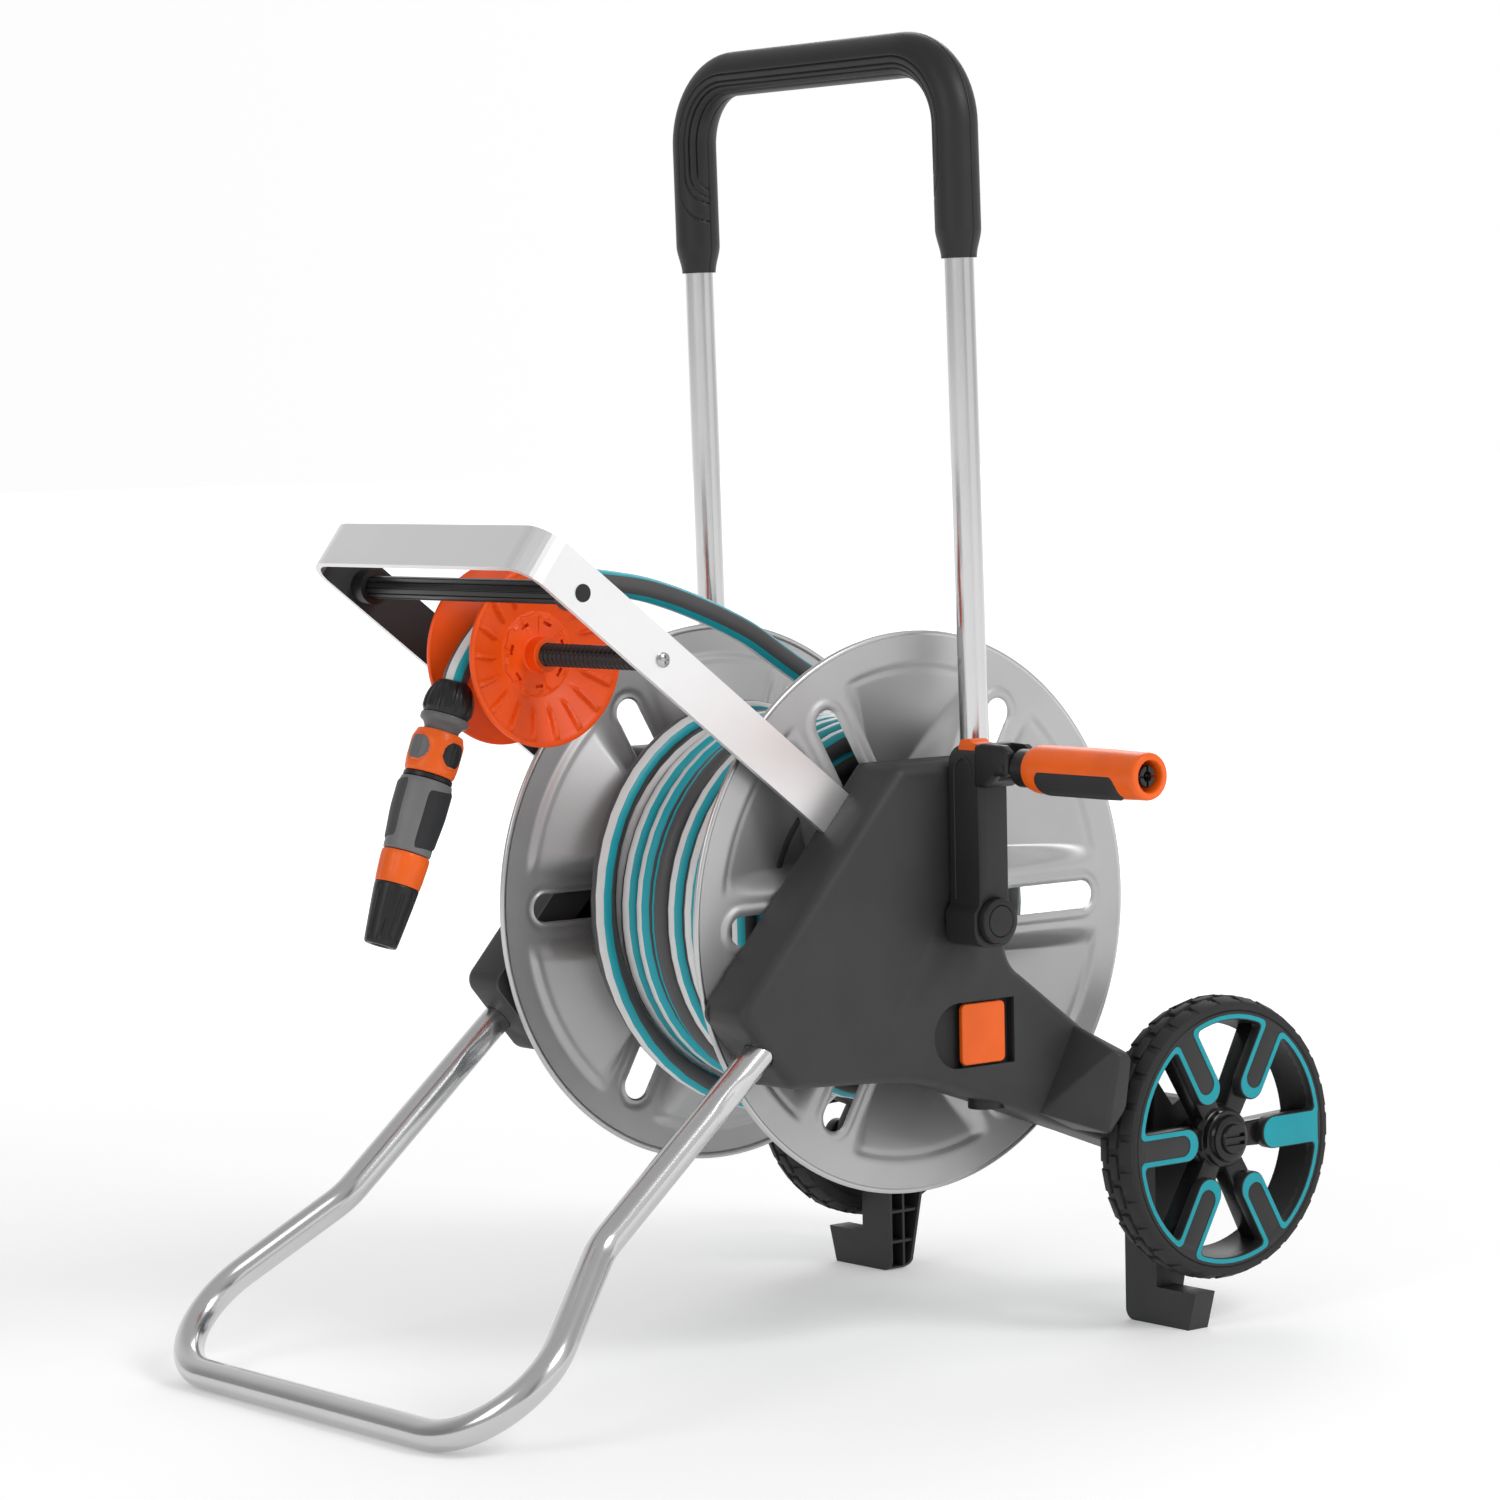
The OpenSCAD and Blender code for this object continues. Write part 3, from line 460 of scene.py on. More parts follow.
def corner(a, b, c, r, n):
    """Points of the round corner at b between the runs from a and to c."""
    a, b, c = Vector(a), Vector(b), Vector(c)
    u, v = (a - b).normalized(), (c - b).normalized()
    half = u.angle(v) / 2
    middle = b + (u + v).normalized() * (r / math.sin(half))
    p, q = b + u * (r / math.tan(half)) - middle, b + v * (r / math.tan(half)) - middle
    turn = p.angle(q)
    return [tuple(middle + (p * math.sin((1 - k / n) * turn) + q * math.sin(k / n * turn))
                  / math.sin(turn)) for k in range(n + 1)]


def straight(a, b, n):
    a, b = Vector(a), Vector(b)
    return [tuple(a.lerp(b, k / n)) for k in range(1, n)]


# Faces of a box whose corners count up along the last axis first
BOX_FACES = [(0, 1, 3, 2), (4, 6, 7, 5), (0, 4, 5, 1), (2, 3, 7, 6), (0, 2, 6, 4), (1, 5, 7, 3)]


def box_cut(lo, hi):
    """A plain box in mm, for cutting."""
    xs, ys, zs = zip(lo, hi)
    return raw("cutter", [(x, y, z) for x in xs for y in ys for z in zs], BOX_FACES)


def sheet(name, nu, nv, place):
    """A skin over a grid of nu by nv steps; place(w, h) gives its point at w and h from -1 to 1."""
    points = [place(-1 + 2 * i / nu, -1 + 2 * j / nv) for i in range(nu + 1) for j in range(nv + 1)]
    starts = [i * (nv + 1) + j for i in range(nu) for j in range(nv)]
    return raw(name, points, [(k, k + 1, k + nv + 2, k + nv + 1) for k in starts])


def step(x, a, b):
    """Smooth step from 0 at a to 1 at b."""
    w = min(1.0, max(0.0, (x - a) / (b - a)))
    return w * w * (3 - 2 * w)


# ---------------------------------------------------------------- camera
CAMERA_AT = (2526.3, -2097.4, 344.0)
CAMERA_AXES = ((0.6295, 0.7768, -0.0197), (-0.0430, 0.0604, 0.9973), (0.7760, -0.6270, 0.0715))
FOCAL_MM = 111.7

lens = bpy.data.cameras.new("camera")
lens.lens = FOCAL_MM
lens.sensor_width = 36.0
lens.clip_start = 0.05
lens.clip_end = 60.0
camera = placed("camera", lens)
turn = Matrix(CAMERA_AXES).transposed().to_quaternion().to_matrix().to_4x4()
camera.matrix_world = Matrix.Translation(at(*CAMERA_AT)) @ turn
bpy.context.scene.camera = camera

# ---------------------------------------------------------------- hose
HOSE_R = 8.75
DRUM_R = 86.2
LAYER = 15.16
PITCH = 17.6
TURN_STEPS = 48


def layer_half(r):
    """Half the width between the middles of a layer's end turns."""
    return 75.6 + max(0.0, r + HOSE_R - 90) * 0.393 - HOSE_R


def winding():
    """Helical layers, each running back over the one below, and a last strand up to the span."""
    points = []
    angle = math.radians(30)
    radii = [DRUM_R + HOSE_R + LAYER * k for k in range(3)]
    sign = -1
    x = layer_half(radii[0]) * 0.86
    for k in range(8):
        points.append((x, angle, radii[0] - 12 * (1 - step(k / 8, 0, 1))))
        angle += math.radians(10)
    for i, r in enumerate(radii):
        goal = sign * (layer_half(r) - 0.5)
        last = i == len(radii) - 1
        count = max(1, round(abs(goal - x) / PITCH * TURN_STEPS))
        x0 = x
        for k in range(count):
            points.append((x0 + (goal - x0) * k / count, angle, r))
            angle += 2 * math.pi / TURN_STEPS
        x = goal
        climb = 0.0 if last else radii[i + 1] - r
        rest = TURN_STEPS // 3 if last else TURN_STEPS
        for k in range(rest):
            points.append((x, angle, r + climb * step(k / rest, 0.35, 1)))
            angle += 2 * math.pi / TURN_STEPS
        sign = -sign
    # the last strand crosses the winding and climbs on to its top
    end = math.radians(SPAN_ANGLE)
    while end < angle + math.radians(150):
        end += 2 * math.pi
    count = int((end - angle) / (2 * math.pi) * TURN_STEPS) + 1
    a0, x0, r0 = angle, x, radii[-1]
    for k in range(count + 1):
        w = k / count
        points.append((x0 + (SPAN_X - x0) * step(w, 0.05, 1.0), a0 + (end - a0) * w,
                       r0 + (SPAN_R - r0) * step(w, 0.1, 0.55)))
    return [(x, r * math.cos(a), r * math.sin(a)) for x, a, r in points]


# Side view of the hose from the winding over the pulley to the nozzle
SPAN_X = -27.0
SPAN_ROUTE = [(112.8, 88.6), (100.2, 102.6), (86, 115.3), (68.5, 128), (50, 140), (30, 152.5),
              (9, 164.5), (-12, 177.5), (-33, 190.5), (-55, 201), (-78, 210.5), (-102, 219),
              (-127, 226), (-152, 230.5), (-176, 233.5), (-199, 234), (-219, 231), (-236, 224),
              (-250, 214.5), (-263, 202.5), (-275, 190), (-284.5, 176.3), (-289, 164.6)]
SPAN_R = math.hypot(*SPAN_ROUTE[0])
SPAN_ANGLE = math.degrees(math.atan2(SPAN_ROUTE[0][1], SPAN_ROUTE[0][0]))


def spline(points, n=4):
    """A smooth curve through the points, n steps to each run."""
    p = [Vector(q) for q in points]
    out = []
    for i in range(len(p) - 1):
        a, b, c, d = p[max(i - 1, 0)], p[i], p[i + 1], p[min(i + 2, len(p) - 1)]
        for k in range(n):
            t = k / n
            out.append(tuple(0.5 * (2 * b + (c - a) * t + (2 * a - 5 * b + 4 * c - d) * t * t
                                    + (3 * b - a - 3 * c + d) * t ** 3)))
    return out + [tuple(p[-1])]


def path_length(path):
    return sum((Vector(b) - Vector(a)).length for a, b in zip(path, path[1:])) * MM


ROLL = math.radians(64) - 0.45


def wound_roll(s, p):
    """Stripes keep their side towards the drum, but for two places where the hose lies turned."""
    return (ROLL + 0.7 * step(p.x, -62, -42) + 1.05 * math.exp(-((p.x + 12) / 9) ** 2)
            + 0.12 * math.sin(s / 610))


wound_path = winding()
wound = tube("wound_hose_turns", wound_path, HOSE_R, 16, first=None, roll=wound_roll)
done(wound, hose_look, "reel", ["wound_hose"])
at(*wound_path[0])
path_length(wound_path)
[at(*p) for p in wound_path]

span_path = spline([(SPAN_X, y, z) for y, z in SPAN_ROUTE])
SPAN_ROLL, SPAN_TWIST = math.radians(182), math.radians(-37)


def span_roll(s, _):
    """The hose twists where it lies over the pulley."""
    return SPAN_ROLL + SPAN_TWIST * step(s, 270, 440)


span = tube("hose_over_pulley", span_path, HOSE_R, 64, first=(1, 0, 0), roll=span_roll)
done(span, hose_look, "carriage", ["hose_span"])

# ---------------------------------------------------------------- nozzle and its connector
NOZZLE_AT = Vector((SPAN_X, -287.4, 168.8))
NOZZLE_TO = Vector((0, -math.sin(math.radians(21.1)), -math.cos(math.radians(21.1))))


def on_nozzle(name, profile, material, body, stands_for=(), fluting=None, segments=72, angle=35.0):
    obj = lathe(name, profile, NOZZLE_AT, NOZZLE_TO, segments, fluting)
    return done(obj, material, body, stands_for, angle)


def nut_ribs(a, r, t):
    if r < 12 or t > 21.5 or t < 4:
        return r
    ribs = 0.5 + 0.5 * math.cos(a * 9)
    fine = 0.5 + 0.5 * math.cos(a * 36)
    return r - 1.1 * (1 - step(ribs, 0.05, 0.3)) - 0.35 * fine * step(ribs, 0.6, 0.8) * (t > 8) * (t < 17)


on_nozzle("union_nut_body", [
    (8.9, 6), (8.9, 0.5), (10.2, 0), (11.2, 0.6), (12.6, 2.4), (14.2, 4.8), (15.5, 7.6), (16.4, 10.5),
    (17.0, 13.5), (17.15, 16), (17.15, 19.5), (16.8, 20.6), (16.0, 21.8), (15.4, 23.3), (9.5, 23.3)],
    black, "carriage", ["union_nut"], nut_ribs, 144, 50)
on_nozzle("connector_collar", [
    (9, 23.4), (14.4, 23.4), (16.0, 24.0), (16.5, 25), (16.5, 27.6), (15.9, 28.6), (14.0, 29.6),
    (12.8, 31.4), (12.0, 33), (12.0, 58), (9.0, 58.5), (9.0, 72), (6, 72)],
    grey, "carriage", ["connector_body"])


PAD_TURN = math.radians(49)
PAD_LEFT = 20.0


def sleeve_dents(a, r, t):
    if r < 14:
        return r
    wide = abs(math.remainder(a - PAD_TURN, math.pi / 2)) / 0.54
    high = (t - 49.5) / 9.6
    d = math.hypot(wide, high)
    return r + 0.4 * (1 - step(d, 0.86, 0.98)) - 0.6 * step(d, 0.92, 1.0) * (1 - step(d, 1.02, 1.12))


def sleeve_r(t):
    return 15.9 + 2.1 * step(t, 35, 43) - 0.8 * step(t, 55, 65)


sleeve_profile = [(12.12, 36.2), (12.12, 35.5), (15.2, 35.5), (15.9, 36)] + [
    (sleeve_r(t), t) for t in range(37, 64)] + [(16.6, 64.4), (16.1, 65), (12.12, 65)]
on_nozzle("connector_sleeve_body", sleeve_profile, orange, "sleeve", ["connector_sleeve"],
          sleeve_dents, 144, 50)


def oval_pad(name, centre_angle, half_angle, t0, t1, lift, material, body, radius_at, ribs=0,
             square=1.0, taper=0.0):
    """A thin raised pad that follows a turned body."""
    side = NOZZLE_TO.cross(Vector((0.31, 0.17, 0.93))).normalized()
    up = NOZZLE_TO.cross(side)

    def place(w, h):
        limit = (1 - abs(h) ** (2 * square)) ** (1 / (2 * square)) if abs(h) < 1 else 0.0
        t = (t0 + t1) / 2 + (t1 - t0) / 2 * h + taper * w
        a = centre_angle + half_angle * w * limit
        edge = max(abs(w), abs(h))
        r = radius_at(t) + lift * (1 - step(edge, 0.86, 1.0)) - 0.25 * step(edge, 0.97, 1.0)
        if ribs:
            r += 0.3 * (0.5 + 0.5 * math.cos(w * math.pi * ribs)) * (1 - step(edge, 0.6, 0.8))
        return NOZZLE_AT + NOZZLE_TO * t + (side * math.cos(a) + up * math.sin(a)) * r
    done(sheet(name, 24, 28, place), material, body)


for k in range(4):
    oval_pad(f"sleeve_pad_{k}", PAD_TURN + math.pi / 2 * k, 0.52, 40.8, 58.4, 0.75,
             grey if k % 2 else black, "sleeve", sleeve_r, ribs=5)
on_nozzle("seal_ring", [(9.4, 65.4), (16.0, 65.4), (16.9, 66.0), (16.9, 68.6), (9.4, 68.6)], black,
          "carriage")


def body_r(t):
    return 18.2 - 1.8 * step(t, 88, 116) - 1.2 * (1 - step(t, 66, 74))


nozzle_profile = [(9.2, 69), (16.2, 69)] + [(body_r(t), t) for t in [69.6 + 1.55 * k for k in range(32)]] + [
    (16.2, 119), (15.4, 119.6), (11.0, 119.6), (11.0, 135.5), (6, 136)]
on_nozzle("nozzle_body_shell", nozzle_profile, light_grey, "carriage", ["nozzle_body"], None, 96, 50)
# Both nozzle pads are one black rubber. The left pad gets the lighter copy, which is painted light, and the right
# pad gets the plain rubber
for label, turn_deg, look in (("left", PAD_LEFT, painted_lit_grip_rubber), ("right", PAD_LEFT + 180, soft)):
    oval_pad(f"nozzle_grip_{label}", math.radians(turn_deg), 1.15, 72.5, 115, 0.9, look, "carriage",
             body_r, square=5, taper=2.5)


def slight_edges(a, r, t):
    return r if r < 12 else r - 0.35 * abs(math.sin(4 * a)) ** 8


on_nozzle("nozzle_ring_body", [
    (11.1, 121), (11.1, 120.2), (15.8, 120.2), (16.4, 121), (16.6, 123), (16.5, 127), (16.0, 136),
    (15.5, 141.4), (15.2, 142.2), (11.1, 142.2)], orange, "nozzle_head", ["nozzle_ring"], slight_edges, 96)


def tip_flutes(a, r, t):
    if r < 9.3:
        return r
    depth = 0.9 * step(t, 145, 148) * (1 - step(t, 178, 182))
    return r - depth * step(0.5 + 0.5 * math.cos(10 * a), 0.72, 0.95)


tip_profile = [(11, 142.3), (14.6, 142.3), (15.2, 142.9)] + [
    (15.3 - 3.7 * ((t - 143) / 38) ** 1.1, t) for t in range(144, 182, 2)] + [
    (11.4, 182.6), (10.7, 183.8), (10, 184), (6.5, 184), (6, 183), (4.2, 178), (4.0, 170)]
on_nozzle("nozzle_tip_body", tip_profile, black, "nozzle_head", ["nozzle_tip"], tip_flutes, 160, 50)

at(*span_path[0])
path_length(span_path)
[at(*p) for p in span_path]

# ---------------------------------------------------------------- pulley, spindle, guide bracket
def pulley_half(name):
    """Outside: hub boss, toothed ring, ribbed cone and rim; inside: groove."""
    segments = 432
    outer = [(8.1, 27.3), (11.2, 27.3), (11.7, 26.6), (11.9, 16.4), (13, 15.6), (24.6, 15.6), (25.2, 15.8),
             (27.4, 15.8), (28.2, 14.6), (29.5, 14.2)]
    outer += [(29.5 + 29.5 * k / 12, 14.2 + 11.0 * k / 12) for k in range(1, 13)]
    outer += [(60.2, 26.4), (61.5, 26.5), (62.6, 26.0), (63.0, 25.0), (63.0, 23.8), (62.4, 22.9), (61, 22.6)]
    inner = [(59, 22.2), (44, 16.8), (30, 11.7), (27, 10), (26, 8.5), (26, 0), (8.1, 0)]
    profile = outer + inner
    rings = []
    for k in range(segments):
        a = 2 * math.pi * k / segments
        ring = []
        for i, (r, x) in enumerate(profile):
            if i < len(outer):
                rib = step(math.cos(18 * a + 0.05 * (r - 40)), 0.68, 0.93)
                rib *= step(r, 36, 39) * (1 - step(r, 56, 58))
                x += 3.2 * rib * (r < 59)
                if 24 < r < 28.5:
                    r += 0.7 * math.sin(13 * a)
                if 25 < r < 28.6 and x > 15:
                    x -= 1.2 * step(abs(math.sin(3.5 * a)), 0.75, 0.85)
            ring.append((x, r * math.cos(a), r * math.sin(a)))
        rings.append(ring)
    obj = loft(name, rings, closed=True, caps=False)
    holes = []
    for k in range(7):
        a = 2 * math.pi * (k + 0.3) / 7
        u, v = Vector((math.cos(a), math.sin(a))), Vector((-math.sin(a), math.cos(a)))
        quad = [u * 20.6 - v * 3.4, u * 23.0 - v * 3.4, u * 23.0 + v * 3.4, u * 20.6 + v * 3.4]
        holes.append(slab("cutter", [tuple(q) for q in quad], 12.6, 17))
    return cut(obj, *holes)


half = pulley_half("pulley_near_half")
far = mirrored(half, "pulley_far_half")
for obj, node in ((half, "pulley_near"), (far, "pulley_far")):
    obj.data.transform(Matrix.Translation(SPINDLE))
    done(obj, pulley_orange, "pulley", [node], 30)

SPIN_Y, SPIN_Z = SPINDLE.y / MM, SPINDLE.z / MM


def threaded_spindle():
    rings, n = [], 32
    x0, x1, pitch = -121.8, 121.8, 5.0
    count = int((x1 - x0) / 0.5)
    for i in range(count + 1):
        x = x0 + (x1 - x0) * i / count
        smooth_end = step(abs(x), 110.5, 112.5)
        ring = []
        for k in range(n):
            a = 2 * math.pi * k / n
            w = ((x / pitch + a / (2 * math.pi)) % 1.0) * 2 - 1
            depth = 1.8 * step(abs(w), 0.30, 0.80)
            r = 7.95 - depth * (1 - smooth_end) - 0.6 * smooth_end
            ring.append((x, SPIN_Y + r * math.cos(a), SPIN_Z + r * math.sin(a)))
        rings.append(ring)
    return loft("threaded_spindle", rings)


done(threaded_spindle(), gloss_black, "frame", ["spindle"], 60)

ROD_LO, ROD_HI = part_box("upper_rod")
rod_mid = ((ROD_LO + ROD_HI) / 2 - AXLE) / MM


def fluted_rod():
    n = 144
    rings = []
    for x in (-116, -115.5, 115.5, 116):
        ring = []
        for k in range(n):
            a = 2 * math.pi * k / n
            r = 7.9 - 0.9 * (1 - step(abs(math.sin(6 * a)), 0.25, 0.5)) - (0.4 if abs(x) == 116 else 0)
            ring.append((x, rod_mid.y + r * math.cos(a), rod_mid.z + r * math.sin(a)))
        rings.append(ring)
    return loft("fluted_rod", rings)


done(fluted_rod(), black, "frame", ["upper_rod"], 40)

# ---------------------------------------------------------------- foot tube
BOW_A, BOW_K, BOW_C = (146.5, -126, -40), (146.5, -306.2, -191.3), (225, -435, -295.1)
knee_points = corner(BOW_A, BOW_K, BOW_C, 45, 8)
bow_half = [BOW_A] + straight(BOW_A, knee_points[0], 40) + knee_points
turn_points = corner(BOW_K, BOW_C, (-BOW_C[0], BOW_C[1], BOW_C[2]), 61, 24)
bow_half += straight(bow_half[-1], turn_points[0], 10) + turn_points
bow_path = bow_half + straight(turn_points[-1], (-turn_points[-1][0], *turn_points[-1][1:]), 12) + [
    (-x, y, z) for x, y, z in reversed(bow_half)]
bow_length = path_length(bow_path) / MM


def bow_shape(s, a):
    """Oval dimples pressed into the tube just below the covers."""
    r = 10.5
    for mark in (98.0, bow_length - 98.0):
        for side in (math.pi / 2, -math.pi / 2):
            d = math.hypot((s - mark) / 17.0, math.remainder(a - side, 2 * math.pi) / 0.62)
            r -= 1.3 * (1 - step(d, 0.55, 1.0))
    return r


bow = tube("foot_tube", bow_path, 10.5, 48, first=(0, 0.6425, -0.766), shape=bow_shape)
done(bow, chrome, "frame", ["foot_bow"], 60)

# ---------------------------------------------------------------- handle
LEAN = math.radians(1.2)


def on_handle(x, y, z):
    """A point along the leaning handle, y square to it."""
    return (x, 30.4 + y * math.cos(LEAN) - z * math.sin(LEAN), y * math.sin(LEAN) + z * math.cos(LEAN))


GRIP_LOW, GRIP_TOP, GRIP_R, GRIP_BEND, HANDLE_X = 448.6, 605.0, 15.8, 50.0, 142.5
bar_z = GRIP_TOP - GRIP_R
grip_side = [(HANDLE_X, 0, GRIP_LOW + k) for k in [*range(0, 34, 2), *range(34, 90)]]
grip_bend_points = corner((HANDLE_X, 0, GRIP_LOW), (HANDLE_X, 0, bar_z), (0, 0, bar_z), GRIP_BEND, 18)
grip_half_path = [on_handle(*p) for p in grip_side + grip_bend_points]
grip_path = grip_half_path + [on_handle(x, 0, bar_z) for x in (60, 30, 0, -30, -60)] + [
    (-x, y, z) for x, y, z in reversed(grip_half_path)]
grip_length = path_length(grip_path) / MM


GROOVES = [(3, 37, 24), (22, 50, 21), (36, 54.5, 18), (57, 60.5, 11)]


def grip_shape(s, a):
    """Ends taper to the tube; nested grooves run along the front and turn in to the inner seam."""
    ends = min(s, grip_length - s)
    r = 12.2 + (GRIP_R - 12.2) * step(ends, 0, 20)
    inner = math.degrees(math.remainder(a, 2 * math.pi)) + 90
    for lane, low, rise in GROOVES:
        width = 90 - lane
        if ends >= low + rise:
            gap = math.radians(inner - width) * GRIP_R
        else:
            away = math.hypot(inner / width, (low + rise - ends) / rise)
            gap = (away - 1) * min(rise, math.radians(width) * GRIP_R)
        if inner >= 0:
            r -= 1.2 * math.exp(-(gap / 0.6) ** 2)
    # seams between the two halves
    for seam in (math.pi / 2, -math.pi / 2):
        r -= 0.5 * math.exp(-(math.remainder(a - seam, 2 * math.pi) / 0.03) ** 2)
    return r


# angle 0 of the sweep looks to the front
for name, span_deg, node in (("hand_grip_front", (-90, 90), "grip_front"),
                             ("hand_grip_rear", (90, 270), "grip_rear")):
    shell = tube(name, grip_path, GRIP_R, 120, first=(0, -1, 0), shape=grip_shape, span=span_deg)
    done(shell, grip_soft, "handle", [node], 60)

# ---------------------------------------------------------------- side covers
COVER_IN, COVER_OUT, WALL = 116.5, 159.0, 2.5
HANDLE_WAY_R, BOW_WAY_R, AXLE_WAY_R = 12.8, 10.9, 17.0


def ccw(outline):
    area = sum(a[0] * b[1] - b[0] * a[1] for a, b in zip(outline, outline[1:] + outline[:1]))
    return outline if area > 0 else outline[::-1]


def wide_arc(cy, cz, r, a0, a1, bigger):
    """The round corner of radius r replaced by a bigger one between the same two edges."""
    n0 = Vector((math.cos(math.radians(a0)), math.sin(math.radians(a0))))
    n1 = Vector((math.cos(math.radians(a1)), math.sin(math.radians(a1))))
    shift = (n0 + n1) * ((r - bigger) / (1 + n0.dot(n1)))
    return [(y, z, 0) for y, z in arc(cy + shift.x, cz + shift.y, bigger, a0, a1, 10)]


cover_outline = rounded(
    wide_arc(-149, -96.5, 7, 215, 265, 12)
    + [(-85.4, -106.7, 60), (-49.8, -109.1, 60), (-20, -115, 60), (31.6, -132.8, 40), (120.8, -165.1, 60),
       (176, -186, 0), (176, -127, 0), (122.3, -93.1, 14)]
    + [(y, z, 0) for y, z in arc(70, -20, 28, 240, 185, 14)]
    + wide_arc(34, 97, 10, 0, 90, 12) + wide_arc(-51, 99, 8, 90, 142, 12)
    + wide_arc(-184, -51, 9, 142, 215, 12), 5)
BOW_DIR = (Vector(BOW_K) - Vector(BOW_A)).normalized()
STRIP_A = math.radians(37.3)
STRIP_D = Vector((0, -math.cos(STRIP_A), math.sin(STRIP_A)))
STRIP_W = Vector((0, -math.sin(STRIP_A), -math.cos(STRIP_A)))
STRIP_O = Vector((0, -65.9, 82.7))


def strip_box(x0, x1, d0, d1, w0, w1):
    """A box along the bracket's lower end, for cutting."""
    points = [STRIP_O + STRIP_D * d + STRIP_W * w + Vector((x, 0, 0))
              for x in (x0, x1) for d in (d0, d1) for w in (w0, w1)]
    return raw("cutter", points, BOX_FACES)


def side_cover():
    shell = slab("side_cover_right", cover_outline, COVER_IN + 3, COVER_OUT, out=9.0, steps=7)
    hollow = slab("cutter", offset(cover_outline, WALL), COVER_IN, COVER_OUT - WALL, out=7.0)
    up_handle = Vector(on_handle(0, 0, 1)) - Vector(on_handle(0, 0, 0))
    low_way = lathe("cutter", [(HANDLE_WAY_R, 0), (HANDLE_WAY_R, 150)], on_handle(HANDLE_X, 0, -250),
                    up_handle, 40)
    high_way = lathe("cutter", [(HANDLE_WAY_R, 0), (HANDLE_WAY_R, 200)], on_handle(HANDLE_X, 0, 60),
                     up_handle, 40)
    bow_way = lathe("cutter", [(BOW_WAY_R, 0), (BOW_WAY_R, 300)], BOW_A, BOW_DIR, 40)
    window = ccw(arc(-4.9, -81.3, 22.7, 90, 270, 16) + [(45.6, -104.0), (45.6, -58.6)])
    recess = slab("cutter", window, COVER_OUT - 3.2, COVER_OUT + 5)
    axle = lathe("cutter", [(AXLE_WAY_R, 0), (AXLE_WAY_R, 100)], (100, 0, 0), (1, 0, 0), 40)
    cut(shell, hollow)
    cut(shell, low_way, high_way, bow_way, recess, axle, strip_box(121.7, 126.3, -45, 60, -0.3, 33.3))
    return bevel(shell, 0.7, 2, 45)


def latch_pocket():
    """Dark pocket behind the cover's window, in which the latch slides."""
    outer = ccw(arc(-4.9, -81.3, 24.7, 90, 270, 16) + [(47.6, -106.0), (47.6, -56.6)])
    inner = ccw(arc(-4.9, -81.3, 22.9, 90, 270, 16) + [(45.8, -104.2), (45.8, -58.4)])
    cup = slab("latch_pocket_right", outer, COVER_OUT - 9.0, COVER_OUT - 1.0)
    return cut(cup, slab("cutter", inner, COVER_OUT - 7.6, COVER_OUT + 1))


pair(latch_pocket(), soft, "frame", None, 40)
pair(side_cover(), cover_grey, "frame", "side_shell", 30)


def fender():
    points = [(153, 101, -84.5), (153, 68.9, -141.5), (153, 106, -159), (153, 121, -96),
              (159.2, 103.2, -84.0), (159.2, 69.2, -142.8),
              (200, 100.8, -98.0), (200, 88.4, -152.8), (204, 104.0, -101.5), (204, 92.0, -151.0),
              (204, 113.6, -104.4), (204, 107.6, -139.4), (200, 96, -156.2), (200, 113, -100.4)]
    work = bmesh.new()
    for p in points:
        work.verts.new(at(*p))
    bmesh.ops.convex_hull(work, input=work.verts)
    data = bpy.data.meshes.new("fender_right")
    work.to_mesh(data)
    work.free()
    return bevel(placed("fender_right", data), 2.5, 3, 20)


pair(fender(), cover_grey, "frame", None, 30)


latch_plate = rounded([(-2, -102.3, 4), (37.3, -102.3, 4), (37.3, -60.3, 4), (-2, -60.3, 4)], 5)
pair(slab("latch_right", ccw(latch_plate), COVER_OUT - 3.4, COVER_OUT - 0.2, out=1.0),
     orange, "latch", "latch", 40)
pair(slab("latch_runner_right", [(1, -107.8), (35, -107.8), (35, -54.8), (1, -54.8)],
          COVER_OUT - 6, COVER_OUT - 4.3), black, "latch", None, 40)

# ---------------------------------------------------------------- crank
ARM_X0, ARM_X1, CRANK = 160.5, 192.0, 105.0


def crank_arm():
    outline = ccw(rounded([(-13, 118.2, 12), (13, 118.2, 12), (13, 12, 8), (18, 6, 4), (18, -18, 17.5),
                           (-18, -18, 17.5), (-18, 6, 4), (-13, 12, 8)], 8))
    arm = slab("crank_arm_body", outline, ARM_X0, ARM_X1, out=1.6, inn=1.6)
    pocket = box_cut((165, -8.3, 107), (189.6, 8.3, 130))
    hub_recess = lathe("cutter", [(15.6, 0), (15.6, 10)], (ARM_X1 - 1.0, 0, 0), (1, 0, 0), 48)
    return bevel(cut(arm, pocket, hub_recess), 0.5, 2, 50)


done(crank_arm(), crank_grey, "reel", ["crank_arm"], 40)
ridge = [(167, -13.1, 14 + 9 * k) for k in range(11)] + [
    (170, -13.1, 108), (176, -13.1, 111), (182, -13.1, 108), (185, -13.1, 100)]
done(tube("crank_ridge", ridge, 0.8, 10, first=(1, 0, 0)), crank_grey, "reel", (), 60)


def fork():
    outline = ccw(rounded([
        (ARM_X1 - 4, 91, 1), (ARM_X1 - 4, 119.6, 2), (ARM_X1 + 3, 121.0, 5), (215, 120.5, 4),
        (221.5, 116, 3), (221.5, 99.4, 5), (208, 99.4, 2), (199, 91, 6)], 5))
    block = across_y("grip_fork", outline, -14, 14, 2.5)
    return bevel(cut(block, box_cut((204, -7, 60), (240, 7, 140))), 1.4, 3, 50)


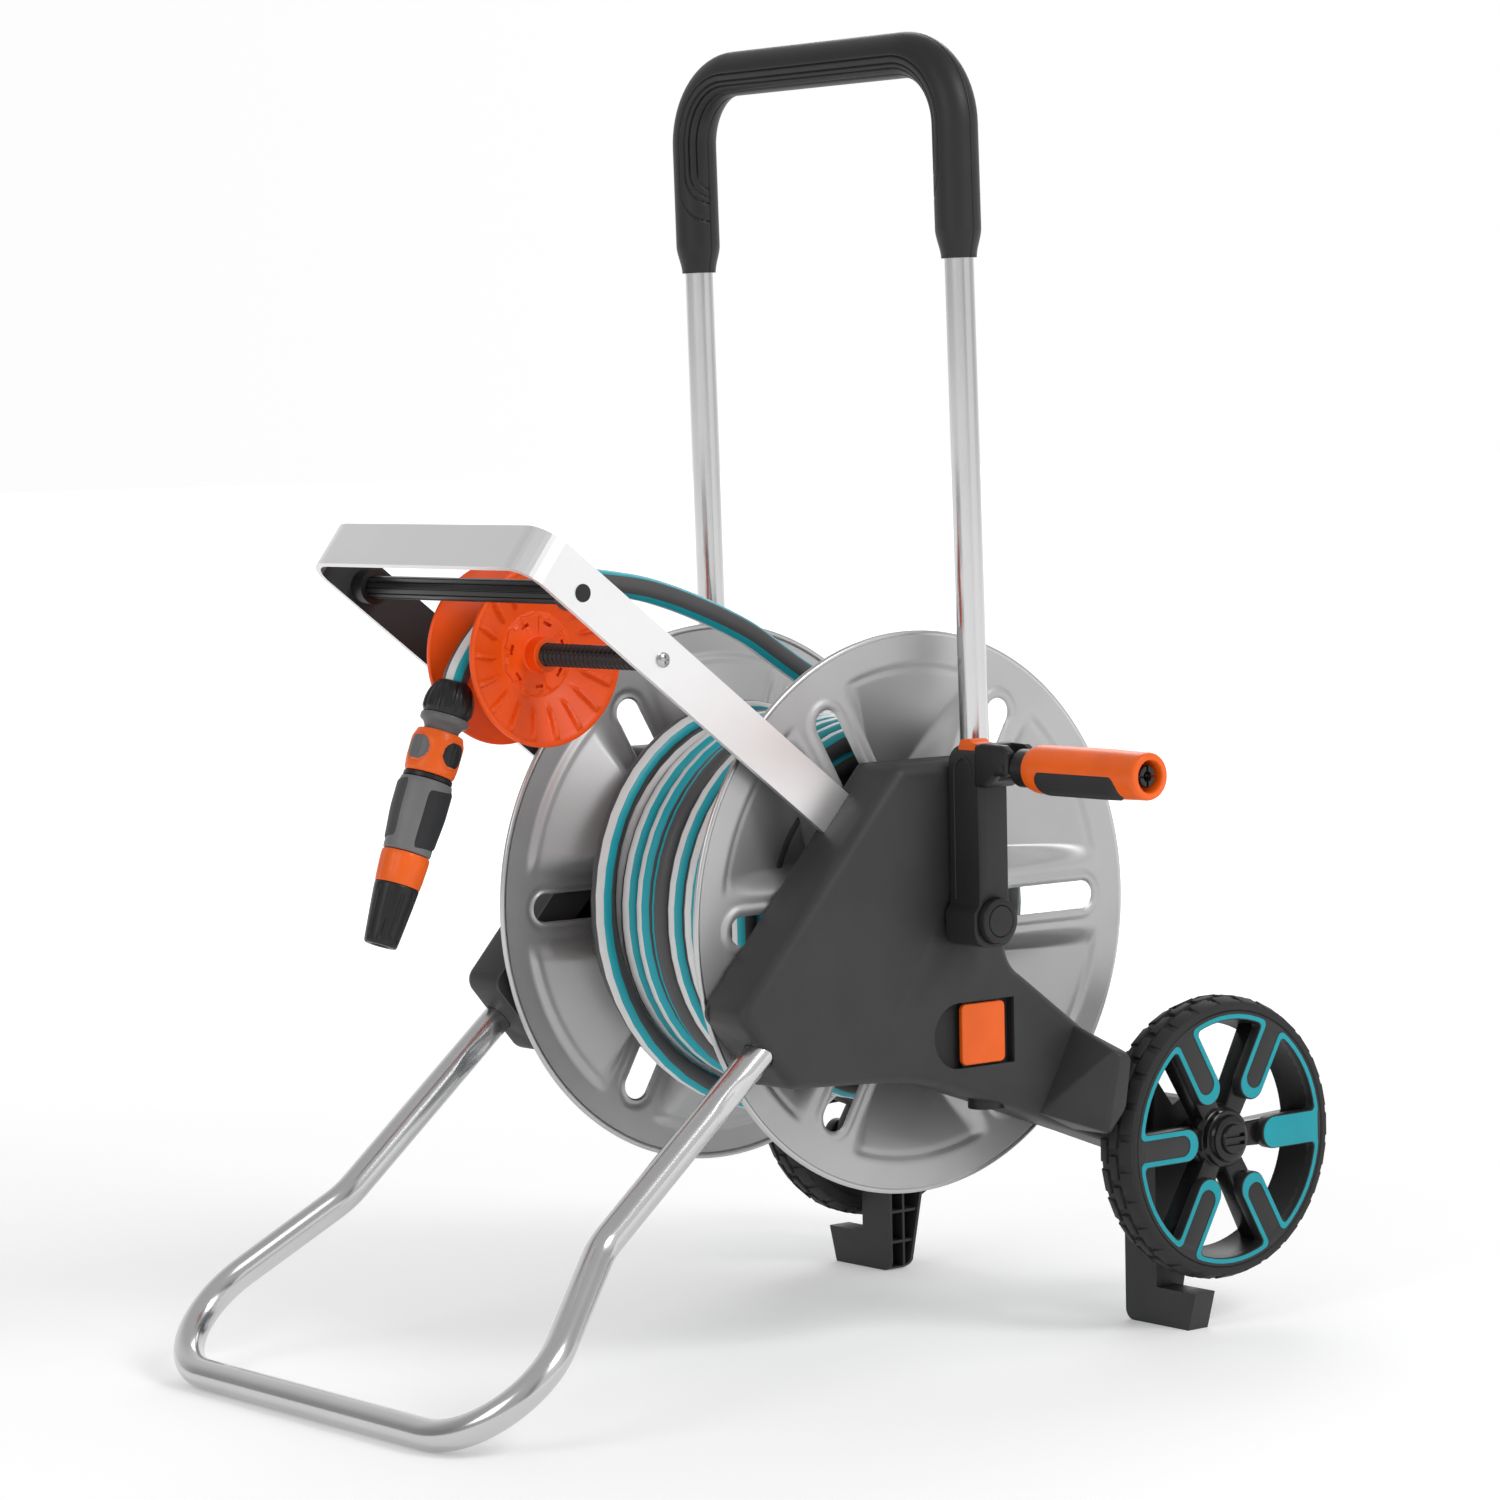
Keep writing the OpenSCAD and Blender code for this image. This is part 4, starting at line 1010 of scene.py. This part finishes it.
done(fork(), black, "reel", (), 40)
done(lathe("crank_hub_ring", [(18, -1.2), (15.5, -1.2), (15.5, 4.6), (15.0, 5.6), (14, 6), (11.2, 6),
                              (10.6, 5.4), (10.6, 0)],
           (ARM_X1, 0, 0), (1, 0, 0), 64), black, "reel", (), 40)
done(lathe("crank_centre_disc", [(10.5, 1.2), (10.5, 5.9), (10.0, 6.4), (0.5, 6.6)],
           (ARM_X1, 0, 0), (1, 0, 0), 48), crank_grey, "reel", ["crank_cap"], 40)


def fold_button():
    outline = ccw(rounded([
        (165.4, 108, 0.5), (189.2, 108, 0.5), (189.2, 117.5, 1.5), (186, 120.0, 3), (180.5, 120.6, 3),
        (177.5, 123.0, 4), (168, 122.6, 4), (165.4, 117, 2)], 5))
    return across_y("fold_button_cap", outline, -8, 8, 1.0)


done(fold_button(), orange, "button", ["fold_button"], 40)


def coil_spring(name, centre, radius, wire, z0, z1, turns, steps=20):
    path = []
    for k in range(turns * steps + 1):
        a = 2 * math.pi * k / steps
        rise = (z1 - z0 - 2 * wire) * k / (turns * steps)
        path.append((centre[0] + radius * math.cos(a), centre[1] + radius * math.sin(a), z0 + wire + rise))
    return tube(name, path, wire, 8)


done(coil_spring("button_coil", (176, 0), 4.2, 0.4, 96.2, 110.3, 6), zinc, "reel", ["button_spring"], 60)


tongue = ccw(rounded([(209.2, 98.2, 6), (223, 98.2, 0.5), (223, 111.8, 0.5), (209.2, 111.8, 6)], 6))
done(across_y("grip_knuckle", tongue, -6.6, 6.6, 0.8), black, "knuckle", ["crank_knuckle"], 40)
done(lathe("knuckle_collar", [(6, 222.2), (12.2, 222.2), (13, 223), (13, 237), (12.4, 237.7),
                              (5, 237.7), (5, 331.8), (2, 331.8)],
           (0, 0, CRANK), (1, 0, 0), 48), black, "knuckle", (), 40)


def snap():
    body = lathe("grip_snap_pin", [(5, 331.9), (7.5, 331.9), (7.5, 340.5), (6.6, 342), (3.6, 342),
                                   (3.2, 341), (3.2, 336), (1, 336)], (0, 0, CRANK), (1, 0, 0), 48)
    return cut(body, box_cut((337, -0.9, CRANK - 12), (346, 0.9, CRANK + 12)),
               box_cut((337, -12, CRANK - 0.9), (346, 12, CRANK + 0.9)))


done(snap(), gloss_black, "knuckle", ["grip_snap"], 40)


def grip_radius(x):
    return 16.5 - 1.6 * (1 - step(x, 236, 242)) - 0.7 * step(x, 300, 344)


grip_profile = [(5.1, 238.2), (13.9, 238.2), (13.9, 236.3), (14.4, 236.0), (14.9, 236.1)] + [
    (grip_radius(x), x) for x in range(237, 345, 3)] + [
    (15.5, 343.6), (15.0, 344.6), (14.2, 345), (11.4, 345), (10.8, 344.4), (10.5, 343), (10.5, 331.2),
    (5.1, 331.2)]
done(lathe("crank_grip_body", grip_profile, (0, 0, CRANK), (1, 0, 0), 96), orange, "grip",
     ["crank_grip"], 40)


PAD_MIDDLE, PAD_HALF = -118.0, 62.0


def pad_point(w, h):
    """Soft pad on the underside, its end slanting up towards the grip's end."""
    x = 288 + 40 * h - 14 * step(w, 0.0, 1.0) * step(h, 0.0, 1.0)
    rounding = max(0.0, abs(h) - 0.84) / 0.16
    a = math.radians(PAD_MIDDLE + PAD_HALF * w * math.sqrt(max(0.0, 1 - rounding ** 2)))
    edge = max(abs(w), abs(h))
    r = grip_radius(x) + 0.75 * (1 - step(edge, 0.90, 1.0)) - 0.3 * step(edge, 0.975, 1.0)
    r -= 0.45 * step(math.cos(w * 5 * math.pi), 0.5, 0.9) * (1 - step(edge, 0.72, 0.80))
    return x, r * math.cos(a), CRANK + r * math.sin(a)


done(sheet("grip_soft_pad", 36, 60, pad_point), soft, "grip", ["grip_pad"], 40)

# ---------------------------------------------------------------- flanges
def spoke_distance(y, z):
    """Distance from the nearest spoke's middle line, and the length along it."""
    a = math.atan2(z, y)
    r = math.hypot(y, z)
    near = math.remainder(a, math.pi / 3)
    return abs(r * math.sin(near)), r * math.cos(near)


SLOT_IN, SLOT_OUT, SLOT_HALF = 88, 155, 10.5


def slot_gap(y, z):
    """Distance from the nearest slot's outline, below 0 inside the slot."""
    off, along = spoke_distance(y, z)
    return math.hypot(max(0.0, SLOT_IN - along, along - SLOT_OUT), off) - SLOT_HALF


def flange_height(y, z):
    r = math.hypot(y, z)
    # dished panels between the spokes, sloping down towards the drum
    inside = step(spoke_distance(y, z)[0], 22, 38) * (1 - step(r, 168, 176))
    depth = 33 * min(1.0, max(0.0, (174 - r) / 84))
    x = 110.0 - inside * max(depth, 3.2 * (1 - step(r, 170, 175)))
    # raised rim round each slot
    return x + 1.6 * (1 - step(abs(slot_gap(y, z) - 3.2), 1.2, 3.4))


def flange():
    n, radii = 540, [18.2 + 1.9 * k for k in range(93)]
    radii[-1] = 192.8
    points, faces = [], []
    inside = []
    for r in radii:
        for k in range(n):
            a = 2 * math.pi * k / n
            y, z = r * math.cos(a), r * math.sin(a)
            gap = slot_gap(y, z)
            inside.append(gap < 0)
            points.append([flange_height(y, z), y, z, gap])
    keep = set()
    for i in range(len(radii) - 1):
        for k in range(n):
            face = (i * n + k, i * n + (k + 1) % n, (i + 1) * n + (k + 1) % n, (i + 1) * n + k)
            if not all(inside[v] for v in face):
                faces.append(face)
                keep.update(v for v in face if inside[v])
    for v in keep:
        # move onto the slot's outline
        x, y, z, d = points[v]
        e = 0.05
        gy = (slot_gap(y + e, z) - slot_gap(y - e, z)) / (2 * e)
        gz = (slot_gap(y, z + e) - slot_gap(y, z - e)) / (2 * e)
        size = math.hypot(gy, gz) or 1.0
        points[v] = [x, y - gy / size * d, z - gz / size * d, 0]
    obj = raw("flange_plate_right", [p[:3] for p in points], faces)
    work = bmesh.new()
    work.from_mesh(obj.data)
    bmesh.ops.delete(work, geom=[v for v in work.verts if not v.link_faces], context="VERTS")
    work.to_mesh(obj.data)
    work.free()
    thick = obj.modifiers.new("sheet", "SOLIDIFY")
    thick.thickness = 2 * MM
    thick.offset = 0
    return bake(obj)


pair(flange(), sheet_steel, "reel", "flange", 50)
bead = arc(192.7, 109.2, 2.25, 0, 330, 11)
pair(turned("flange_bead_right", bead, 240), rim_steel, "reel", None, 50)

# ---------------------------------------------------------------- wheels
WY, WZ = WHEEL.y / MM, WHEEL.z / MM
WHEEL_IN, WHEEL_OUT = 172.0, 205.0


def at_wheel(obj):
    obj.data.transform(Matrix.Translation(Vector((0, WY, WZ)) * MM))
    return obj


def wheel_contour(ring, half, tip, root_r):
    """Outline round six fingers that reach inwards from a ring."""
    corners = []
    spread = math.degrees(math.asin(half / ring))
    root = math.sqrt(ring ** 2 - half ** 2)
    for k in range(6):
        a = math.radians(60 * k)
        u, v = Vector((math.cos(a), math.sin(a))), Vector((-math.sin(a), math.cos(a)))
        for along, aside, r in ((root, -half, root_r), (tip, -half, half * 0.985),
                                (tip, half, half * 0.985), (root, half, root_r)):
            p = u * along + v * aside
            corners.append((p.x, p.y, r))
        for j in range(1, 8):
            b = math.radians(60 * k + spread + (60 - 2 * spread) * j / 8)
            corners.append((ring * math.cos(b), ring * math.sin(b), 0))
    return rounded(corners, 8)


FACE_R = 90.6
opening = wheel_contour(84.4, 11.7, 31.5, 7.0)
line_in = wheel_contour(85.3, 11.0, 32.6, 7.6)
line_out = wheel_contour(88.3, 7.6, 40.0, 10.5)


def ring_plate(name, outer_r, hole, x0, x1, n=180):
    plate = slab(name, arc(0, 0, outer_r, 0, 360 - 360 / n, n - 1), x0, x1, out=1.0)
    return cut(plate, slab("cutter", hole, x0 - 1, x1 + 1))


face = bevel(ring_plate("wheel_face_right", FACE_R, opening, WHEEL_OUT - 9, WHEEL_OUT - 0.6), 0.6, 2, 50)
pair(at_wheel(face), rim_black, "wheel", "rim", 40)


def band(name, inner, outer, x0, x1):
    """A flat band between two outlines with the same points."""
    rings = [[(x, *p) for p in line] for x, line in ((x0, inner), (x1, inner), (x1, outer), (x0, outer))]
    return loft(name, rings, closed=True, caps=False)


pair(at_wheel(band("wheel_line_right", line_in, line_out, WHEEL_OUT - 2.5, WHEEL_OUT - 0.3)),
     teal, "wheel", None, 40)
filled = ccw(rounded([(32.6, -11.0, 10.8), (87.0, -11.0, 2), (87.0, 11.0, 2), (32.6, 11.0, 10.8)], 8))
pair(at_wheel(slab("wheel_finger_right", filled, WHEEL_OUT - 2.5, WHEEL_OUT - 0.25, out=0.3)),
     teal, "wheel", None, 40)


barrel_profile = [(86.8, WHEEL_IN + 3), (88.0, WHEEL_OUT - 3), (84.6, WHEEL_OUT - 3),
                  (83.5, WHEEL_IN + 12), (80, WHEEL_IN + 3)]
hub_profile = [(6.1, 165), (12, 165), (13, 166), (13, 180), (20, 182), (24, 186), (24.5, 192), (23, 195.5),
               (20.5, 197), (20.0, 200.8), (19.2, 201.5), (17, 201.5), (16, 203.5), (6.1, 203.5)]
barrel = turned("wheel_barrel_right", barrel_profile, 120)
hub = turned("wheel_hub_right", hub_profile, 96)
pair(at_wheel(barrel), rim_black, "wheel", None, 40)
pair(at_wheel(hub), gloss_black, "wheel", None, 40)
for k in range(6):
    a = math.radians(60 * k)
    u, v = Vector((math.cos(a), math.sin(a))), Vector((-math.sin(a), math.cos(a)))
    quad = [u * 14 - v * 8.5, u * 86 - v * 11.3, u * 86 + v * 11.3, u * 14 + v * 8.5]
    spoke = slab(f"wheel_spoke_{k}_right", [tuple(q) for q in quad], WHEEL_IN + 8, WHEEL_OUT - 8.5)
    pair(at_wheel(bevel(spoke, 2.2, 3, 50)), gloss_black, "wheel", None, 40)


tyre_profile = [(87, WHEEL_IN + 3), (89, WHEEL_IN + 0.6), (92.5, WHEEL_IN), (95.5, WHEEL_IN + 1.2),
                (97.6, WHEEL_IN + 4.5), (98.2, WHEEL_IN + 9), (98.2, WHEEL_OUT - 9), (97.6, WHEEL_OUT - 4.5),
                (96.6, WHEEL_OUT - 1.6), (94.5, WHEEL_OUT - 0.1), (91.6, WHEEL_OUT - 0.2),
                (90.9, WHEEL_OUT - 1.2), (88.2, WHEEL_OUT - 3)]
TREAD_BLOCKS = 28
# From, to and shift of each row: two rows of shoulder blocks and a staggered middle one
TREAD_ROWS = ((WHEEL_IN + 0.8, WHEEL_IN + 11, 0.0), (WHEEL_IN + 12.5, WHEEL_OUT - 12.5, 0.5),
              (WHEEL_OUT - 11, WHEEL_OUT - 0.8, 0.0))


def tread():
    points, faces = [], []
    half_angle = math.pi / TREAD_BLOCKS * 0.84
    shoulders = (TREAD_ROWS[0][0], TREAD_ROWS[2][1])
    for x0, x1, shift in TREAD_ROWS:
        for k in range(TREAD_BLOCKS):
            a0 = 2 * math.pi * (k + shift) / TREAD_BLOCKS
            b = len(points)
            for r, shoulder_r, shrink in ((94.5, 92.0, 0.0), (100.7, 97.0, 0.9)):
                for way, x in ((-1, x0), (1, x0), (1, x1), (-1, x1)):
                    a = a0 + way * (half_angle - shrink / 100)
                    if x in shoulders:
                        points.append((x, shoulder_r * math.cos(a), shoulder_r * math.sin(a)))
                    else:
                        x += shrink if x == x0 else -shrink
                        points.append((x, r * math.cos(a), r * math.sin(a)))
            faces += [(b, b + 1, b + 2, b + 3), (b + 4, b + 5, b + 6, b + 7)]
            faces += [(b + i, b + (i + 1) % 4, b + 4 + (i + 1) % 4, b + 4 + i) for i in range(4)]
    return bevel(raw("tyre_tread_right", points, faces), 0.7, 2, 30)


pair(at_wheel(turned("tyre_right", tyre_profile, 160)), tyre_black, "wheel", "tyre", 40)
pair(at_wheel(tread()), tyre_black, "wheel", None, 40)


def hub_cap():
    body = lathe("hub_cap_body_right", [
        (6.1, 201.6), (15.4, 201.6), (15.9, 202.2), (15.9, 205), (13.5, 206), (11.0, 206), (10.5, 208.4),
        (10, 209), (1, 209)], (0, 0, 0), (1, 0, 0), 64)
    return cut(body, box_cut((206.4, -9.0, 1.4), (212, 9.0, 4.2)),
               box_cut((206.4, -9.0, -4.2), (212, 9.0, -1.4)))


pair(at_wheel(hub_cap()), gloss_black, "wheel", "hub_cap", 40)

# ---------------------------------------------------------------- screws
def cross_screw(name, x, y, z, radius, sign):
    """A round-headed screw along X with a cross slot."""
    profile = [(0.5, -3 / radius), (0.5, 0), (1, 0), (1, 0.25), (0.8, 0.45),
               (0.4, 0.55), (0.3 / radius, 0.58)]
    body = lathe(name, [(r * radius, t * radius) for r, t in profile], (x, y, z), (sign, 0, 0), 32)
    t, h = radius * 0.14, radius * 0.62
    x0, x1 = sorted((x + sign * radius * 0.25, x + sign * radius))
    return cut(body, box_cut((x0, y - t, z - h), (x1, y + t, z + h)),
               box_cut((x0, y - h, z - t), (x1, y + h, z + t)))


for sign, label in ((1, "right"), (-1, "left")):
    obj = cross_screw(f"spindle_screw_{label}", sign * 126.05, SPIN_Y, SPIN_Z, 5.0, sign)
    done(obj, zinc, "frame", ["spindle_screws"] if sign > 0 else (), 40)

# ---------------------------------------------------------------- CAD nodes shown as they are
FINE_EDGE = 0.5
for name, node in frame["nodes"].items():
    if node.hide_render:
        continue
    node.data.materials.clear()
    node.data.materials.append(gloss_black if name == "fold_pin" else SLOT_LOOKS[SLOT_OF[name]])
    modifier = node.modifiers.new("edges", "BEVEL")
    modifier.width = FINE_EDGE * MM
    modifier.segments = 2
    modifier.limit_method = "ANGLE"
    modifier.angle_limit = math.radians(50)
    modifier.use_clamp_overlap = True
    smooth(node, 35)

# The bracket's arms are dark on the inside
bracket = frame["nodes"]["guide_bracket"]
bracket.data = bracket.data.copy()
bracket.data.materials.append(soft)
for polygon in bracket.data.polygons:
    middle = bracket.matrix_world @ polygon.center - AXLE
    if abs(middle.x) > 0.112 and polygon.normal.x * middle.x < 0 and abs(polygon.normal.x) > 0.9:
        polygon.material_index = len(bracket.data.materials) - 1

# ---------------------------------------------------------------- floor and light
floor_data = bpy.data.meshes.new("floor")
SIZE = 40.0
floor_data.from_pydata([(-SIZE, -SIZE, 0), (SIZE, -SIZE, 0), (SIZE, SIZE, 0), (-SIZE, SIZE, 0)], [],
                       [(0, 1, 2, 3)])
floor = placed("floor", floor_data)
floor_data.polygons.foreach_set("use_smooth", [True] * len(floor_data.polygons))


def floor_paper():
    """Pale paper that fades to white far from the cart."""
    material, tree, shader = nodes_of("floor_paper")
    link = tree.links.new
    place = tree.nodes.new("ShaderNodeTexCoord")
    far_off = worked(tree, "ShaderNodeVectorMath", "LENGTH", place.outputs["Object"])
    fade = add(tree, "ShaderNodeMapRange", From_Min=0.9, From_Max=4.5, To_Min=0.22, To_Max=0.72)
    fade.interpolation_type = "SMOOTHSTEP"
    link(far_off.outputs["Value"], fade.inputs["Value"])
    link(fade.outputs["Result"], shader.inputs["Emission Strength"])
    shader.inputs["Emission Color"].default_value = (1, 1, 1, 1)
    shader.inputs["Base Color"].default_value = (0.86, 0.86, 0.86, 1)
    shader.inputs["Roughness"].default_value = 0.9
    shader.inputs["Specular IOR Level"].default_value = 0.1
    return material


floor_data.materials.append(floor_paper())

# Round the horizon, seen from above and starting behind the cart: (share of the turn, brightness)
STUDIO = [(0.0, 1.0), (0.12, 0.9), (0.20, 0.34), (0.30, 0.28), (0.40, 0.50), (0.50, 0.56), (0.545, 0.45),
          (0.575, 0.18), (0.615, 0.82), (0.72, 0.80), (0.78, 0.48), (0.84, 0.75), (0.92, 1.0)]
world = bpy.data.worlds.new("world")
bpy.context.scene.world = world
world.use_nodes = True
tree = world.node_tree
link = tree.links.new
look = tree.nodes.new("ShaderNodeTexCoord")
turned_look = add(tree, "ShaderNodeMapping")
turned_look.vector_type = "POINT"
turned_look.inputs["Rotation"].default_value = (0, 0, -math.atan2(CAMERA_AXES[2][1], CAMERA_AXES[2][0]))
link(look.outputs["Generated"], turned_look.inputs["Vector"])
split = tree.nodes.new("ShaderNodeSeparateXYZ")
link(turned_look.outputs["Vector"], split.inputs["Vector"])
round_it = worked(tree, "ShaderNodeMath", "ARCTAN2", split.outputs["Y"], split.outputs["X"])
share = add(tree, "ShaderNodeMapRange", From_Min=-math.pi, From_Max=math.pi)
link(round_it.outputs["Value"], share.inputs["Value"])
horizon = tree.nodes.new("ShaderNodeValToRGB")
set_stops(horizon, [(where, [level] * 3) for where, level in STUDIO])
link(share.outputs["Result"], horizon.inputs["Fac"])
above = add(tree, "ShaderNodeMapRange", From_Min=0.35, From_Max=0.80)
link(split.outputs["Z"], above.inputs["Value"])
sky = tree.nodes.new("ShaderNodeMix")
sky.data_type = "RGBA"
link(above.outputs["Result"], sky.inputs["Factor"])
link(horizon.outputs["Color"], sky.inputs["A"])
sky.inputs["B"].default_value = (0.55, 0.55, 0.55, 1)
link(sky.outputs["Result"], tree.nodes["Background"].inputs["Color"])
tree.nodes["Background"].inputs["Strength"].default_value = 1.0


def area(name, where, aim, size, power):
    data = bpy.data.lights.new(name, "AREA")
    data.energy = power
    data.size = size
    obj = placed(name, data)
    obj.location = where
    obj.rotation_euler = (Vector(aim) - Vector(where)).to_track_quat("-Z", "Y").to_euler()


area("key", (2.6, 0.6, 2.6), (0, 0, 0.4), 1.2, 42)
area("front", (0.4, -3.0, 1.8), (0, 0, 0.4), 1.4, 16)
area("back", (-2.2, 2.4, 2.4), (0, 0, 0.5), 1.6, 25)

bpy.context.scene.view_settings.view_transform = "Standard"

bpy.context.view_layer.update()
